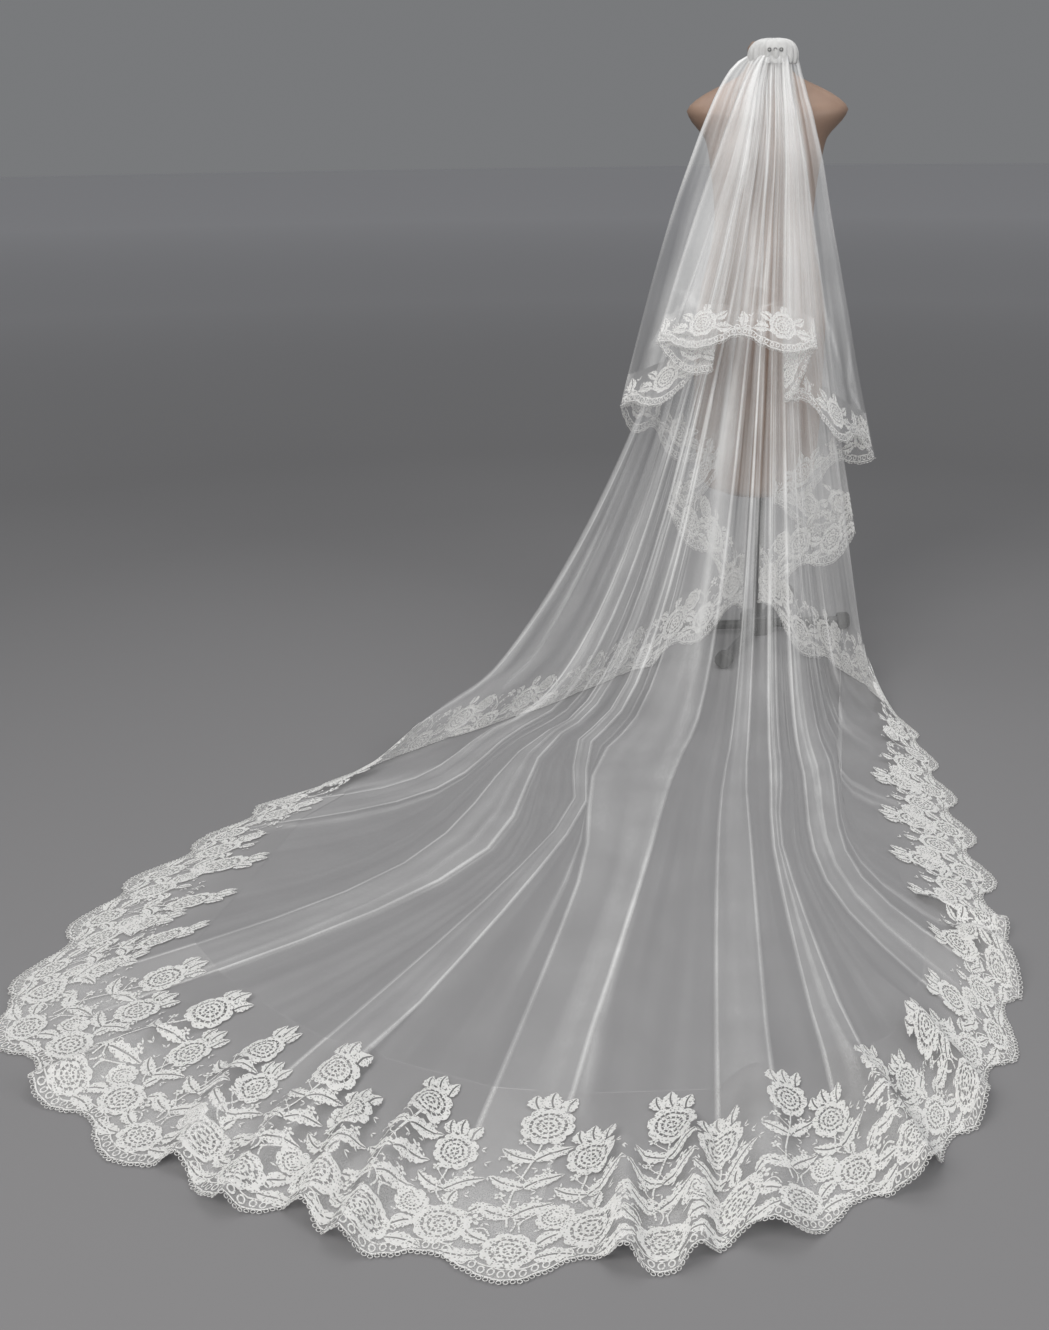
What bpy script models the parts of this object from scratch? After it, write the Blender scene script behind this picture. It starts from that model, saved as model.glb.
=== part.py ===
# A two-tier cathedral bridal veil with a scalloped lace border, on a headless gown form.
# Metres, +Z up. The veil hangs down the form's back, towards -Y, and its train lies on the floor.
# The origin is on the floor, at the middle of the stand's base.
#
# The veil is one oval sheet of tulle, gathered to a comb inside its outline. Rays run from the
# comb to the hem, all round it: RAYS holds one row for each ray where the cloth folds or turns.
# Every ray becomes one or more columns of points, and each panel is a run of columns.

import math
from collections import namedtuple

import bmesh
import bpy
import numpy as np

# Driving sizes
WALL = 0.0012
LACE_WALL = 0.0014
SEAM = 0.0003
COMB_X = -0.015
COMB_WIDTH = 0.084
COMB_DEPTH = 0.003
HEADING_Z = 1.452
LACE_REPEAT = 0.195
LAYER_GAP_TOP = 0.0036
LAYER_GAP_HUNG = 0.0050
LAYER_GAP_LAID = 0.0038
FOLD_STEP = 0.0045
BAND_STEP = 0.003
BAND_FULL = 0.012
FORM_X = -0.015
FORM_AROUND = 28
POLE_RADIUS = 0.0125
TUBE_RADIUS = 0.0125
CAP_RADIUS = 0.0225
HUB_RADIUS = 0.045
HUB_HEIGHT = 0.052

# How far the form's back stands out from its middle at each height
BACK = ((0.0, -0.06), (0.20, 0.0), (0.42, 0.095), (0.62, 0.112), (0.84, 0.124), (0.96, 0.112),
        (1.08, 0.096), (1.22, 0.112), (1.31, 0.092), (1.38, 0.056), (1.43, 0.030), (1.60, 0.022))

# One row for each ray. kind says what the cloth does there: "soft" rolls on, "front" and "rear"
# turn a pass back on itself, with the earlier face in front or behind, and "left" and "right"
# are the edges of a pressed pleat. top is where the ray leaves the heading, as a share of the
# comb's half width, and depth how far behind the comb. away is how far it stands off the form's
# back, slack how steeply it hangs. foot is where it meets the floor, way a point beyond that, hem
# its end, and lace the depth of the border. flare, under 1 for a ray that spreads sideways early,
# is 1 where it isn't given.
Ray = namedtuple("Ray", "name kind top depth away slack foot way hem lace flare", defaults=(1.0,))

RAYS = (
    Ray("right_turn_1", "rear", 0.76, 0.051, 0.155, 1.85, None, None, (0.062, -0.396, 0.799), 0.080, 0.85),
    Ray("upper_right", "soft", 0.30, 0.054, 0.162, 1.85, None, None, (-0.018, -0.400, 0.833), 0.080, 0.90),
    Ray("upper_middle", "soft", -0.10, 0.054, 0.162, 1.85, None, None, (-0.106, -0.400, 0.824), 0.080, 0.90),
    Ray("upper_left", "soft", -0.45, 0.054, 0.162, 1.85, None, None, (-0.199, -0.400, 0.842), 0.080, 0.85),
    Ray("left_turn_1", "front", -0.80, 0.051, 0.155, 1.85, None, None, (-0.314, -0.396, 0.816), 0.080, 0.75),
    Ray("left_fold_1", "front", -0.50, 0.048, 0.148, 1.85, None, None, (-0.180, -0.378, 0.756), 0.080, 0.85),
    Ray("left_drape", "soft", -1.00, 0.038, 0.140, 1.80, None, None, (-0.290, -0.372, 0.706), 0.082, 0.75),
    Ray("left_turn_2", "front", -1.40, 0.022, 0.075, 1.60, None, None, (-0.390, -0.330, 0.661), 0.085, 0.60),
    Ray("left_back", "soft", -0.95, 0.010, 0.028, 1.20, None, None, (-0.265, -0.152, 0.552), 0.088, 0.80),
    Ray("left_fold_2", "rear", -0.42, 0.004, 0.012, 1.20, None, None, (-0.130, -0.136, 0.466), 0.090),
    Ray("left_turn_3", "rear", -0.74, 0.014, 0.064, 1.20, None, None, (-0.262, -0.190, 0.376), 0.105, 0.90),
    Ray("left_sweep", "soft", -0.55, 0.0155, 0.055, 1.20, None, None, (-0.190, -0.178, 0.306), 0.120),
    Ray("left_fold_3", "rear", -0.28, 0.0175, 0.050, 1.20, None, None, (-0.063, -0.176, 0.137), 0.125),
    Ray("back_left", "soft", -0.48, 0.0215, 0.085, 1.15, None, None, (-0.145, -0.250, 0.110), 0.125),
    Ray("floor_left", "soft", -0.78, 0.0245, 0.112, 1.10, None, None, (-0.330, -0.290, 0), 0.125, 0.95),
    Ray("side_left_1", "soft", -0.88, 0.0265, 0.116, 1.50, None, None, (-0.550, -0.550, 0), 0.130, 0.97),
    Ray("side_left_2", "soft", -0.93, 0.0268, 0.117, 1.95, (-0.695, -0.675, 0.135), (-0.83, -0.81, 0.075),
        (-0.91, -0.89, 0), 0.135, 1.06),
    Ray("side_left_3", "soft", -0.93, 0.0302, 0.128, 1.95, (-0.680, -0.700, 0.125), (-0.84, -0.87, 0.06),
        (-1.00, -1.00, 0), 0.142, 1.06),
    Ray("band_a_left", "left", -0.80, 0.031, 0.135, 1.9, (-0.66, -0.67), (-0.86, -1.02),
        (-1.14, -1.15, 0), 0.15),
    Ray("band_a_right", "right", -0.70, 0.031, 0.135, 1.9, (-0.60, -0.68), (-0.82, -1.09),
        (-1.22, -1.29, 0), 0.16),
    Ray("tip_left", "soft", -0.62, 0.031, 0.135, 1.9, (-0.570, -0.69), (-0.93, -1.38),
        (-1.36, -1.55, 0), 0.24),
    Ray("band_b_left", "left", -0.57, 0.031, 0.135, 1.9, (-0.545, -0.70), (-0.86, -1.44),
        (-1.45, -1.94, 0), 0.33),
    Ray("band_b_right", "right", -0.48, 0.031, 0.135, 1.9, (-0.51, -0.71), (-0.73, -1.44),
        (-1.40, -2.06, 0), 0.35),
    Ray("corner_left", "soft", -0.41, 0.031, 0.135, 1.9, (-0.49, -0.72), (-0.67, -1.50),
        (-1.24, -2.27, 0), 0.37),
    Ray("band_c_left", "left", -0.35, 0.031, 0.135, 1.9, (-0.475, -0.73), (-0.55, -1.24),
        (-1.10, -2.38, 0), 0.37),
    Ray("band_c_right", "right", -0.26, 0.031, 0.135, 1.9, (-0.445, -0.745), (-0.52, -1.24),
        (-1.00, -2.44, 0), 0.37),
    Ray("band_d_left", "left", -0.18, 0.031, 0.135, 1.9, (-0.415, -0.78), (-0.53, -1.50),
        (-0.76, -2.56, 0), 0.38),
    Ray("band_d_right", "right", -0.05, 0.031, 0.135, 1.9, (-0.255, -0.80), (-0.42, -1.54),
        (-0.64, -2.58, 0), 0.38),
    Ray("band_e_left", "left", 0.08, 0.031, 0.135, 1.9, (-0.19, -0.92), (-0.28, -1.50),
        (-0.40, -2.56, 0), 0.36),
    Ray("band_e_right", "right", 0.18, 0.031, 0.135, 1.9, (-0.145, -0.92), (-0.21, -1.50),
        (-0.31, -2.52, 0), 0.35),
    Ray("band_f_left", "left", 0.24, 0.031, 0.135, 1.9, (-0.10, -0.93), (-0.16, -1.40),
        (-0.21, -2.47, 0), 0.34),
    Ray("band_f_right", "right", 0.36, 0.031, 0.135, 1.9, (-0.075, -0.93), (-0.14, -1.40),
        (-0.13, -2.42, 0), 0.32),
    Ray("corner_right", "soft", 0.44, 0.031, 0.135, 1.9, (-0.055, -0.93), (-0.12, -1.50),
        (-0.05, -2.33, 0), 0.27),
    Ray("band_g_left", "left", 0.50, 0.031, 0.135, 1.9, (-0.035, -0.92), (-0.085, -1.55),
        (0.07, -2.12, 0), 0.23),
    Ray("band_g_right", "right", 0.59, 0.031, 0.135, 1.9, (0.03, -0.86), (-0.02, -1.48),
        (0.13, -1.94, 0), 0.22),
    Ray("side_right_1", "soft", 0.67, 0.031, 0.132, 1.85, (0.065, -0.78), (0.015, -1.33),
        (0.195, -1.52, 0), 0.19),
    Ray("side_right_2", "soft", 0.76, 0.030, 0.122, 1.75, (0.10, -0.66), (0.055, -0.95),
        (0.22, -1.15, 0), 0.18),
    Ray("side_right_3", "soft", 0.84, 0.029, 0.110, 1.60, (0.13, -0.52, 0.10), (0.165, -0.64, 0.05),
        (0.24, -0.80, 0), 0.15),
    Ray("side_right_4", "front", 0.90, 0.0275, 0.096, 1.10, None, None, (0.205, -0.480, 0), 0.145, 0.95),
    Ray("floor_right", "soft", 0.80, 0.0255, 0.090, 1.10, None, None, (0.170, -0.340, 0), 0.135, 0.95),
    Ray("back_right", "soft", 0.62, 0.0235, 0.088, 1.10, None, None, (0.132, -0.252, 0.010), 0.130),
    Ray("back_rise", "soft", 0.42, 0.0215, 0.071, 1.15, None, None, (0.053, -0.218, 0.062), 0.125),
    Ray("right_fold_3", "front", 0.18, 0.0175, 0.050, 1.20, None, None, (-0.026, -0.186, 0.164), 0.120),
    Ray("right_sweep", "soft", 0.48, 0.0160, 0.060, 1.20, None, None, (0.128, -0.204, 0.256), 0.115),
    Ray("right_turn_3", "front", 0.70, 0.014, 0.076, 1.20, None, None, (0.206, -0.222, 0.322), 0.105, 0.95),
    Ray("right_fold_2", "front", 0.40, 0.004, 0.012, 1.20, None, None, (0.009, -0.145, 0.377), 0.100),
    Ray("right_back", "soft", 0.95, 0.010, 0.026, 1.20, None, None, (0.130, -0.150, 0.463), 0.090, 0.95),
    Ray("right_turn_2", "rear", 1.40, 0.022, 0.060, 1.40, None, None, (0.236, -0.225, 0.540), 0.085, 0.90),
    Ray("right_drape", "soft", 0.95, 0.038, 0.140, 1.70, None, None, (0.130, -0.350, 0.610), 0.082, 0.90),
    Ray("right_fold_1", "rear", 0.45, 0.048, 0.148, 1.85, None, None, (-0.008, -0.378, 0.707), 0.080, 0.90),
)

# Each panel runs from half way before its first ray to half way past its last
Panel = namedtuple("Panel", "tulle lace first last")

PANELS = (
    Panel("upper_tier", "lace_upper", "right_turn_1", "left_turn_1"),
    Panel("cascade_left", "lace_cascade_left", "left_fold_1", "left_turn_3"),
    Panel("long_tier_back_left", "lace_back_left", "left_sweep", "floor_left"),
    Panel("long_tier_left", "lace_train_left", "side_left_1", "corner_left"),
    Panel("long_tier_centre", "lace_train_end", "band_c_left", "corner_right"),
    Panel("long_tier_right", "lace_train_right", "band_g_left", "side_right_4"),
    Panel("long_tier_back_right", "lace_back_right", "floor_right", "back_rise"),
    Panel("cascade_right", "lace_cascade_right", "right_fold_3", "right_fold_1"),
)

# Rows of points down a ray: at fixed heights to start with. Below them, a ray whose tulle hangs
# clear has rows at shares of its drop, and one that reaches the floor has more fixed heights,
# then shares of the laid length. The lace's rows are shares of its depth.
HUNG_LEVELS = (1.452, 1.38, 1.28, 1.14, 0.94)
CLEAR_ROWS = (0.20, 0.40, 0.60, 0.80, 0.93, 1.0)
LOW_LEVELS = (0.68, 0.40, 0.12)
LAID_ROWS = (0.20, 0.60, 1.0)
LACE_ROWS = (0.36, 0.70, 1.0)
W_ROW = len(HUNG_LEVELS) + len(CLEAR_ROWS) - 1
HEM_ROW = W_ROW + len(LACE_ROWS)

# The scalloped edge over one repeat: share of the repeat, reach past the hem line
SCALLOP = ((0.0, 0.002), (0.167, 0.014), (0.333, 0.022), (0.5, 0.030), (0.667, 0.022),
           (0.833, 0.014), (1.0, 0.002))
COLUMNS_PER_REPEAT = 6

# Raised flowers over one repeat: lace row, column in the repeat, height
FLOWERS = ((1, 3, 0.0016), (1, 4, 0.0010), (2, 0, 0.0012), (2, 3, 0.0018), (2, 2, 0.0008))

# Eyelets cut through over one repeat: lace cell row, cell column in the repeat
EYELETS = ((2, 1), (2, 4))
EYELET_SHARE = 0.36

# Ridges in the laid cloth: start x and y, end x and y, height, half width
Ridge = namedtuple("Ridge", "x0 y0 x1 y1 height half")

RIDGES = (
    Ridge(-0.10, -1.10, -0.46, -1.90, 0.012, 0.050),
    Ridge(-0.30, -2.10, -0.33, -2.56, 0.040, 0.070),
    Ridge(-0.17, -2.06, -0.12, -2.46, 0.036, 0.060),
    Ridge(0.10, -1.74, 0.17, -1.90, 0.040, 0.055),
    Ridge(-0.85, -2.02, -1.00, -2.40, 0.024, 0.060),
    Ridge(-1.06, -1.90, -1.30, -2.16, 0.018, 0.060),
)

# The gown form's cross-sections: height, half width, front reach
FORM_RINGS = (
    (0.385, 0.080, 0.060), (0.402, 0.130, 0.098), (0.450, 0.152, 0.120), (0.600, 0.163, 0.134),
    (0.800, 0.165, 0.138), (0.900, 0.152, 0.132), (1.000, 0.130, 0.112), (1.070, 0.122, 0.104),
    (1.150, 0.128, 0.122), (1.200, 0.135, 0.136), (1.260, 0.148, 0.128), (1.310, 0.188, 0.096),
    (1.330, 0.197, 0.084), (1.350, 0.180, 0.074), (1.375, 0.140, 0.066), (1.395, 0.095, 0.062),
    (1.415, 0.062, 0.060), (1.440, 0.050, 0.060), (1.475, 0.050, 0.062), (1.486, 0.040, 0.052),
)
FORM_SKIN = 0.004

# The heading's ribbed rings: height, size against the lowest ring
HEADING_RINGS = ((1.4536, 1.0), (1.463, 0.99), (1.474, 0.93), (1.483, 0.78), (1.491, 0.52))
HEADING_RIBS = 28
HEADING_HALF = (0.062, 0.0335)
HEADING_Y = -0.0640
RIB_HEIGHT = 0.0022


def smooth_step(share):
    share = min(1.0, max(0.0, share))
    return share * share * (3.0 - 2.0 * share)


def from_table(rows, x):
    """Reads a two-column table with a soft blend between its rows."""
    if x <= rows[0][0]:
        return rows[0][1]
    for (x0, y0), (x1, y1) in zip(rows, rows[1:]):
        if x <= x1:
            return y0 + (y1 - y0) * smooth_step((x - x0) / (x1 - x0))
    return rows[-1][1]


def unit(vectors):
    lengths = np.linalg.norm(vectors, axis=-1, keepdims=True)
    return vectors / np.maximum(lengths, 1e-9)


def square_to(vectors, along):
    """The part of each vector that is square to another direction."""
    along = unit(along)
    return vectors - along * np.sum(vectors * along, axis=-1, keepdims=True)


def clear_of_form(point, ray):
    """Moves a hanging point softly away from the form's back, further for an outer layer."""
    below = smooth_step((HEADING_Z - point[2]) / 0.45)
    stand_off = from_table(BACK, point[2]) + COMB_DEPTH + ray.depth + (ray.away - ray.depth) * below
    softness = 0.020 * below
    out = -point[1]
    out = 0.5 * (out + stand_off + math.hypot(out - stand_off, softness))
    return np.array((point[0], -out, max(point[2], 0.0)))


def hung_point(top, end, ray, share):
    """A point on a hanging ray: steep under the comb, flatter where it nears the floor."""
    reach = 1.0 - (max(end[2], 0.0) / top[2]) ** (1.0 / ray.slack)
    across = share ** ray.flare
    x = top[0] + (end[0] - top[0]) * across
    y = top[1] + (end[1] - top[1]) * share
    return np.array((x, y, top[2] * (1.0 - reach * share) ** ray.slack))


def curve_point(start, end, leaving, arriving, share):
    """A point on the cubic curve between two points with given directions at both."""
    s2 = share * share
    s3 = s2 * share
    point = start * (2 * s3 - 3 * s2 + 1) + leaving * (s3 - 2 * s2 + share)
    return point + end * (3 * s2 - 2 * s3) + arriving * (s3 - s2)


def ray_points(ray):
    """The whole ray from comb to hem, as points close together."""
    heading_out = from_table(BACK, HEADING_Z) + COMB_DEPTH + ray.depth
    top = np.array((COMB_X + ray.top * COMB_WIDTH / 2, -heading_out, HEADING_Z))
    hem = np.array(ray.hem, dtype=float)
    if ray.foot is None:
        points = [hung_point(top, hem, ray, step / 60) for step in range(61)]
    else:
        foot = np.array((*ray.foot, 0.0)[:3])
        way = np.array((*ray.way, 0.0)[:3])
        points = [hung_point(top, foot, ray, step / 40) for step in range(40)]
        landing = unit(foot - points[-1]) * np.linalg.norm(way - foot)
        if foot[2] == 0.0:
            landing[2] = 0.0
        heading = unit(hem - foot)
        arriving = heading * np.linalg.norm(way - foot)
        passing = heading * np.linalg.norm(hem - way)
        points += [curve_point(foot, way, landing, arriving, step / 16) for step in range(16)]
        points += [curve_point(way, hem, passing, hem - way, step / 16) for step in range(17)]
    return np.array([clear_of_form(point, ray) for point in points])


def run_lengths(points):
    """The length along a polyline up to each of its points."""
    return np.concatenate(((0.0,), np.cumsum(np.linalg.norm(np.diff(points, axis=0), axis=1))))


def ray_column(ray):
    """One point for each row down the ray: the tulle's rows, then the lace's."""
    points = ray_points(ray)
    run = run_lengths(points)
    start_of_lace = run[-1] - ray.lace
    lace_height = float(np.interp(start_of_lace, run, points[:, 2]))
    heights = list(HUNG_LEVELS)
    if lace_height > 0.02:
        heights += [heights[-1] + (lace_height - heights[-1]) * share for share in CLEAR_ROWS]
        lengths = list(np.interp([-height for height in heights], -points[:, 2], run))
    else:
        heights += LOW_LEVELS
        lengths = list(np.interp([-height for height in heights], -points[:, 2], run))
        laid = start_of_lace - lengths[-1]
        lengths += [lengths[-1] + laid * share for share in LAID_ROWS]
    lengths[W_ROW] = start_of_lace
    lengths += [start_of_lace + ray.lace * share for share in LACE_ROWS]
    return np.stack([np.interp(lengths, run, points[:, axis]) for axis in range(3)], axis=1)


def layer_gap(column):
    """The spacing of folded layers at each row: close at the comb, wide where they hang."""
    gaps = []
    for height in column[:, 2]:
        hung = LAYER_GAP_TOP + (LAYER_GAP_HUNG - LAYER_GAP_TOP) * smooth_step((HEADING_Z - height) / 0.3)
        gaps.append(LAYER_GAP_LAID + (hung - LAYER_GAP_LAID) * smooth_step(height / 0.15))
    return np.array(gaps)[:, None]


def fold_columns(before, column, after, front):
    """A fold as three columns: one face, the edge, the other face."""
    toward_viewer = np.array((0.0, -1.0, 0.0)) * (1.0 if front else -1.0)
    gap = layer_gap(column)
    down = np.gradient(column, axis=0)
    columns = []
    for neighbour, side in ((before, 0.5), (after, -0.5)):
        aside = square_to(neighbour - column, down)
        step = np.minimum(FOLD_STEP, 0.25 * np.linalg.norm(aside, axis=1, keepdims=True))
        columns.append(column + unit(aside) * step + toward_viewer * gap * side)
    outward = square_to(unit(column - before) + unit(column - after), down)
    edge = column + unit(outward) * gap * 0.3
    return [columns[0], edge, columns[1]]


def band_columns(left, right):
    """A pressed pleat as a band raised as far as the border: two columns at each of its edges."""
    down = np.gradient((left + right) / 2, axis=0)
    span = square_to(right - left, down)
    width = np.linalg.norm(span, axis=1, keepdims=True)
    across = unit(span)
    out = unit(np.cross(down, across))
    step = np.minimum(BAND_STEP, 0.2 * width)
    rise = layer_gap(left) * np.minimum(1.0, width / BAND_FULL)
    rise[W_ROW:] = 0.0
    return [left - across * step, left + across * step + out * rise,
            right - across * step + out * rise, right + across * step]


def veil_columns():
    """All the columns round the veil, with one more half way between each two rays."""
    own = [ray_column(ray) for ray in RAYS]
    count = len(RAYS)
    columns, spans = [], {}
    for index, ray in enumerate(RAYS):
        before, column, after = own[index - 1], own[index], own[(index + 1) % count]
        if ray.kind == "right":
            continue
        group = [column]
        if ray.kind == "left":
            group = band_columns(column, after)
        elif ray.kind in ("front", "rear"):
            group = fold_columns(before, column, after, ray.kind == "front")
        spans[ray.name] = (len(columns), len(columns) + len(group))
        columns += group + [None]
    for index, column in enumerate(columns):
        if column is None:
            columns[index] = (columns[index - 1] + columns[(index + 1) % len(columns)]) / 2
    return columns, spans


def panel_columns(panel, columns, spans):
    """The run of columns of one panel, drawn in at both ends to leave the seam open."""
    start = spans[panel.first][0] - 1
    stop = spans[panel.last][1]
    run = [columns[index % len(columns)].copy() for index in range(start, stop + 1)]
    for end, inner in ((0, 1), (-1, -2)):
        aside = square_to(run[inner] - run[end], np.gradient(run[end], axis=0))
        run[end] += unit(aside) * 0.55 * SEAM
    return run


def ridge_height(x, y):
    height = 0.0
    for ridge in RIDGES:
        along_x, along_y = ridge.x1 - ridge.x0, ridge.y1 - ridge.y0
        length = math.hypot(along_x, along_y)
        share = ((x - ridge.x0) * along_x + (y - ridge.y0) * along_y) / length ** 2
        aside = abs((x - ridge.x0) * along_y - (y - ridge.y0) * along_x) / length
        swell = smooth_step((share + 0.25) / 0.6)
        fall = 1.0 - smooth_step((share - 1.0) / 0.5)
        height = max(height, ridge.height * swell * fall * (1.0 - smooth_step(aside / ridge.half)))
    return height


def settle(points, wall):
    """Lifts laid points over the ridges and keeps half a wall between them and the floor."""
    for point in points:
        laid = 1.0 - smooth_step((point[2] - 0.03) / 0.06)
        point[2] = max(point[2] + laid * ridge_height(point[0], point[1]), wall / 2)
    return points


def new_material(name, colour, roughness):
    material = bpy.data.materials.new(name)
    material.use_nodes = True
    shader = material.node_tree.nodes["Principled BSDF"]
    shader.inputs["Base Color"].default_value = (*colour, 1.0)
    shader.inputs["Roughness"].default_value = roughness
    material.diffuse_color = (*colour, 1.0)
    return material


def new_solid(name, vertices, faces, material):
    mesh = bpy.data.meshes.new(name)
    mesh.from_pydata([tuple(vertex) for vertex in vertices], [], faces)
    mesh.materials.append(material)
    solid = bpy.data.objects.new(name, mesh)
    bpy.context.scene.collection.objects.link(solid)
    shape = bmesh.new()
    shape.from_mesh(mesh)
    bmesh.ops.recalc_face_normals(shape, faces=shape.faces)
    if shape.calc_volume(signed=True) < 0.0:
        bmesh.ops.reverse_faces(shape, faces=shape.faces)
    bmesh.ops.triangulate(shape, faces=shape.faces)
    shape.to_mesh(mesh)
    shape.free()
    return solid


def directions(grid, axis):
    """The direction of the sheet along one axis at each point, half way between its two cells'."""
    steps = unit(np.diff(grid, axis=axis))
    before = np.concatenate((steps.take([0], axis=axis), steps), axis=axis)
    after = np.concatenate((steps, steps.take([-1], axis=axis)), axis=axis)
    return unit(before + after)


def sheet_normals(grid):
    return unit(np.cross(directions(grid, 0), directions(grid, 1)))


def cloth_wall(name, grid, wall, material, raised=None, eyelets=()):
    """A thin closed wall on a grid of points, raised over flowers and pierced by eyelets."""
    rows, count = grid.shape[:2]
    normals = sheet_normals(grid)
    lift = np.zeros((rows, count)) if raised is None else raised
    outer = grid + normals * (wall / 2 + lift)[..., None]
    inner = grid - normals * wall / 2
    outer[..., 2] = np.maximum(outer[..., 2], wall)
    inner[..., 2] = np.maximum(inner[..., 2], 0.0)
    vertices = [*outer.reshape(-1, 3), *inner.reshape(-1, 3)]
    size = rows * count
    faces = []
    for row in range(rows - 1):
        for column in range(count - 1):
            first = row * count + column
            ring = (first, first + 1, first + count + 1, first + count)
            if (row, column) not in eyelets:
                faces.append(ring)
                faces.append(tuple(size + corner for corner in reversed(ring)))
                continue
            base = len(vertices)
            for layer in (0, size):
                corners = np.array([vertices[layer + corner] for corner in ring])
                middle = corners.mean(axis=0)
                vertices += list(middle + (corners - middle) * EYELET_SHARE)
            for side in range(4):
                after = (side + 1) % 4
                a, b = ring[side], ring[after]
                c, d = base + side, base + after
                faces.append((a, b, d, c))
                faces.append((size + b, size + a, c + 4, d + 4))
                faces.append((c, d, d + 4, c + 4))
    edge = [column for column in range(count)]
    edge += [row * count + count - 1 for row in range(1, rows)]
    edge += [(rows - 1) * count + column for column in range(count - 2, -1, -1)]
    edge += [row * count for row in range(rows - 2, 0, -1)]
    for a, b in zip(edge, edge[1:] + edge[:1]):
        faces.append((b, a, size + a, size + b))
    return new_solid(name, vertices, faces, material)


def tulle_panel(panel, run, material):
    grid = np.stack([column[:W_ROW + 1] for column in run], axis=1)
    grid = settle(grid.reshape(-1, 3), WALL).reshape(grid.shape)
    grid[-1] += unit(square_to(grid[-2] - grid[-1], directions(grid, 1)[-1])) * 0.55 * SEAM
    cloth_wall(panel.tulle, grid, WALL, material)


def lace_panel(panel, run, hem_start, material):
    """The border below one panel of tulle, with a column at every sixth of the repeat."""
    cell = LACE_REPEAT / COLUMNS_PER_REPEAT
    borders = [settle(column[W_ROW:].copy(), LACE_WALL) for column in run]
    laid = [column[W_ROW:] for column in run]
    at_hem = hem_start
    columns = [borders[0]]
    phases = [hem_start / cell]
    for left, right, left_settled, right_settled in zip(laid, laid[1:], borders, borders[1:]):
        length = float(np.linalg.norm(right[-1] - left[-1]))
        for number in range(math.ceil(at_hem / cell), math.floor((at_hem + length) / cell) + 1):
            ahead = number * cell - at_hem
            if ahead > 0.007 and length - ahead > 0.007:
                share = ahead / length
                column = settle(left + (right - left) * share, LACE_WALL)
                column[0] = left_settled[0] + (right_settled[0] - left_settled[0]) * share
                columns.append(column)
                phases.append(number)
        at_hem += length
        columns.append(right_settled)
        phases.append(at_hem / cell)
    grid = np.stack(columns, axis=1)
    raised = np.zeros(grid.shape[:2])
    eyelets = set()
    reach = [from_table(SCALLOP, phase % COLUMNS_PER_REPEAT / COLUMNS_PER_REPEAT) for phase in phases]
    outward = unit(grid[-1] - grid[-2])
    grid[-1] += outward * np.array(reach)[:, None]
    grid[-2] += outward * np.array(reach)[:, None] * 0.5
    grid[0] += unit(square_to(grid[1] - grid[0], directions(grid, 1)[0])) * 0.55 * SEAM
    for index, phase in enumerate(phases):
        if phase != int(phase):
            continue
        between = phases[max(0, index - 1)], phases[min(index + 1, len(phases) - 1)]
        for row, column, height in FLOWERS:
            if column == phase % COLUMNS_PER_REPEAT and between == (phase - 1, phase + 1):
                raised[row, index] = height
        if index + 1 < len(phases) and phases[index + 1] == phase + 1:
            for row, column in EYELETS:
                if column == phase % COLUMNS_PER_REPEAT:
                    eyelets.add((row, index))
    cloth_wall(panel.lace, grid, LACE_WALL, material, raised, eyelets)


def build_veil(tulle, lace):
    columns, spans = veil_columns()
    hem = run_lengths(np.array([column[HEM_ROW] for column in columns]))
    for panel in PANELS:
        run = panel_columns(panel, columns, spans)
        tulle_panel(panel, run, tulle)
        lace_panel(panel, run, float(hem[max(0, spans[panel.first][0] - 1)]), lace)


def rings_solid(name, rings, material):
    """A closed solid through rings of points, with a fan of faces on each end."""
    around = len(rings[0])
    vertices = [point for ring in rings for point in ring]
    vertices.append(np.mean(rings[0], axis=0))
    vertices.append(np.mean(rings[-1], axis=0))
    bottom, top = len(vertices) - 2, len(vertices) - 1
    faces = []
    for level in range(len(rings) - 1):
        for side in range(around):
            after = (side + 1) % around
            low, high = level * around, (level + 1) * around
            faces.append((low + side, low + after, high + after, high + side))
    last = (len(rings) - 1) * around
    for side in range(around):
        after = (side + 1) % around
        faces.append((bottom, after, side))
        faces.append((top, last + side, last + after))
    return new_solid(name, vertices, faces, material)


def build_form(material):
    """A headless, armless gown form, smooth and closed, with its hem above the floor."""
    rings = []
    for height, half_width, front in FORM_RINGS:
        back = from_table(BACK, height) - FORM_SKIN
        middle = (front - back) / 2
        depth = (front + back) / 2
        ring = []
        for side in range(FORM_AROUND):
            turn = 2 * math.pi * side / FORM_AROUND
            ring.append((FORM_X + half_width * math.cos(turn), middle + depth * math.sin(turn), height))
        rings.append(ring)
    rings_solid("form_body", rings, material)


def build_heading(material):
    """The gathered heading over the comb: a ribbed puff of cloth."""
    rings = []
    for height, size in HEADING_RINGS:
        ring = []
        for side in range(2 * HEADING_RIBS):
            turn = math.pi * side / HEADING_RIBS
            out = size + (RIB_HEIGHT / HEADING_HALF[1] if side % 2 else 0.0)
            ring.append((COMB_X + HEADING_HALF[0] * size * math.cos(turn),
                         HEADING_Y + HEADING_HALF[1] * min(out, 1.04) * math.sin(turn), height))
        rings.append(ring)
    rings_solid("gathered_heading", rings, material)


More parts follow.
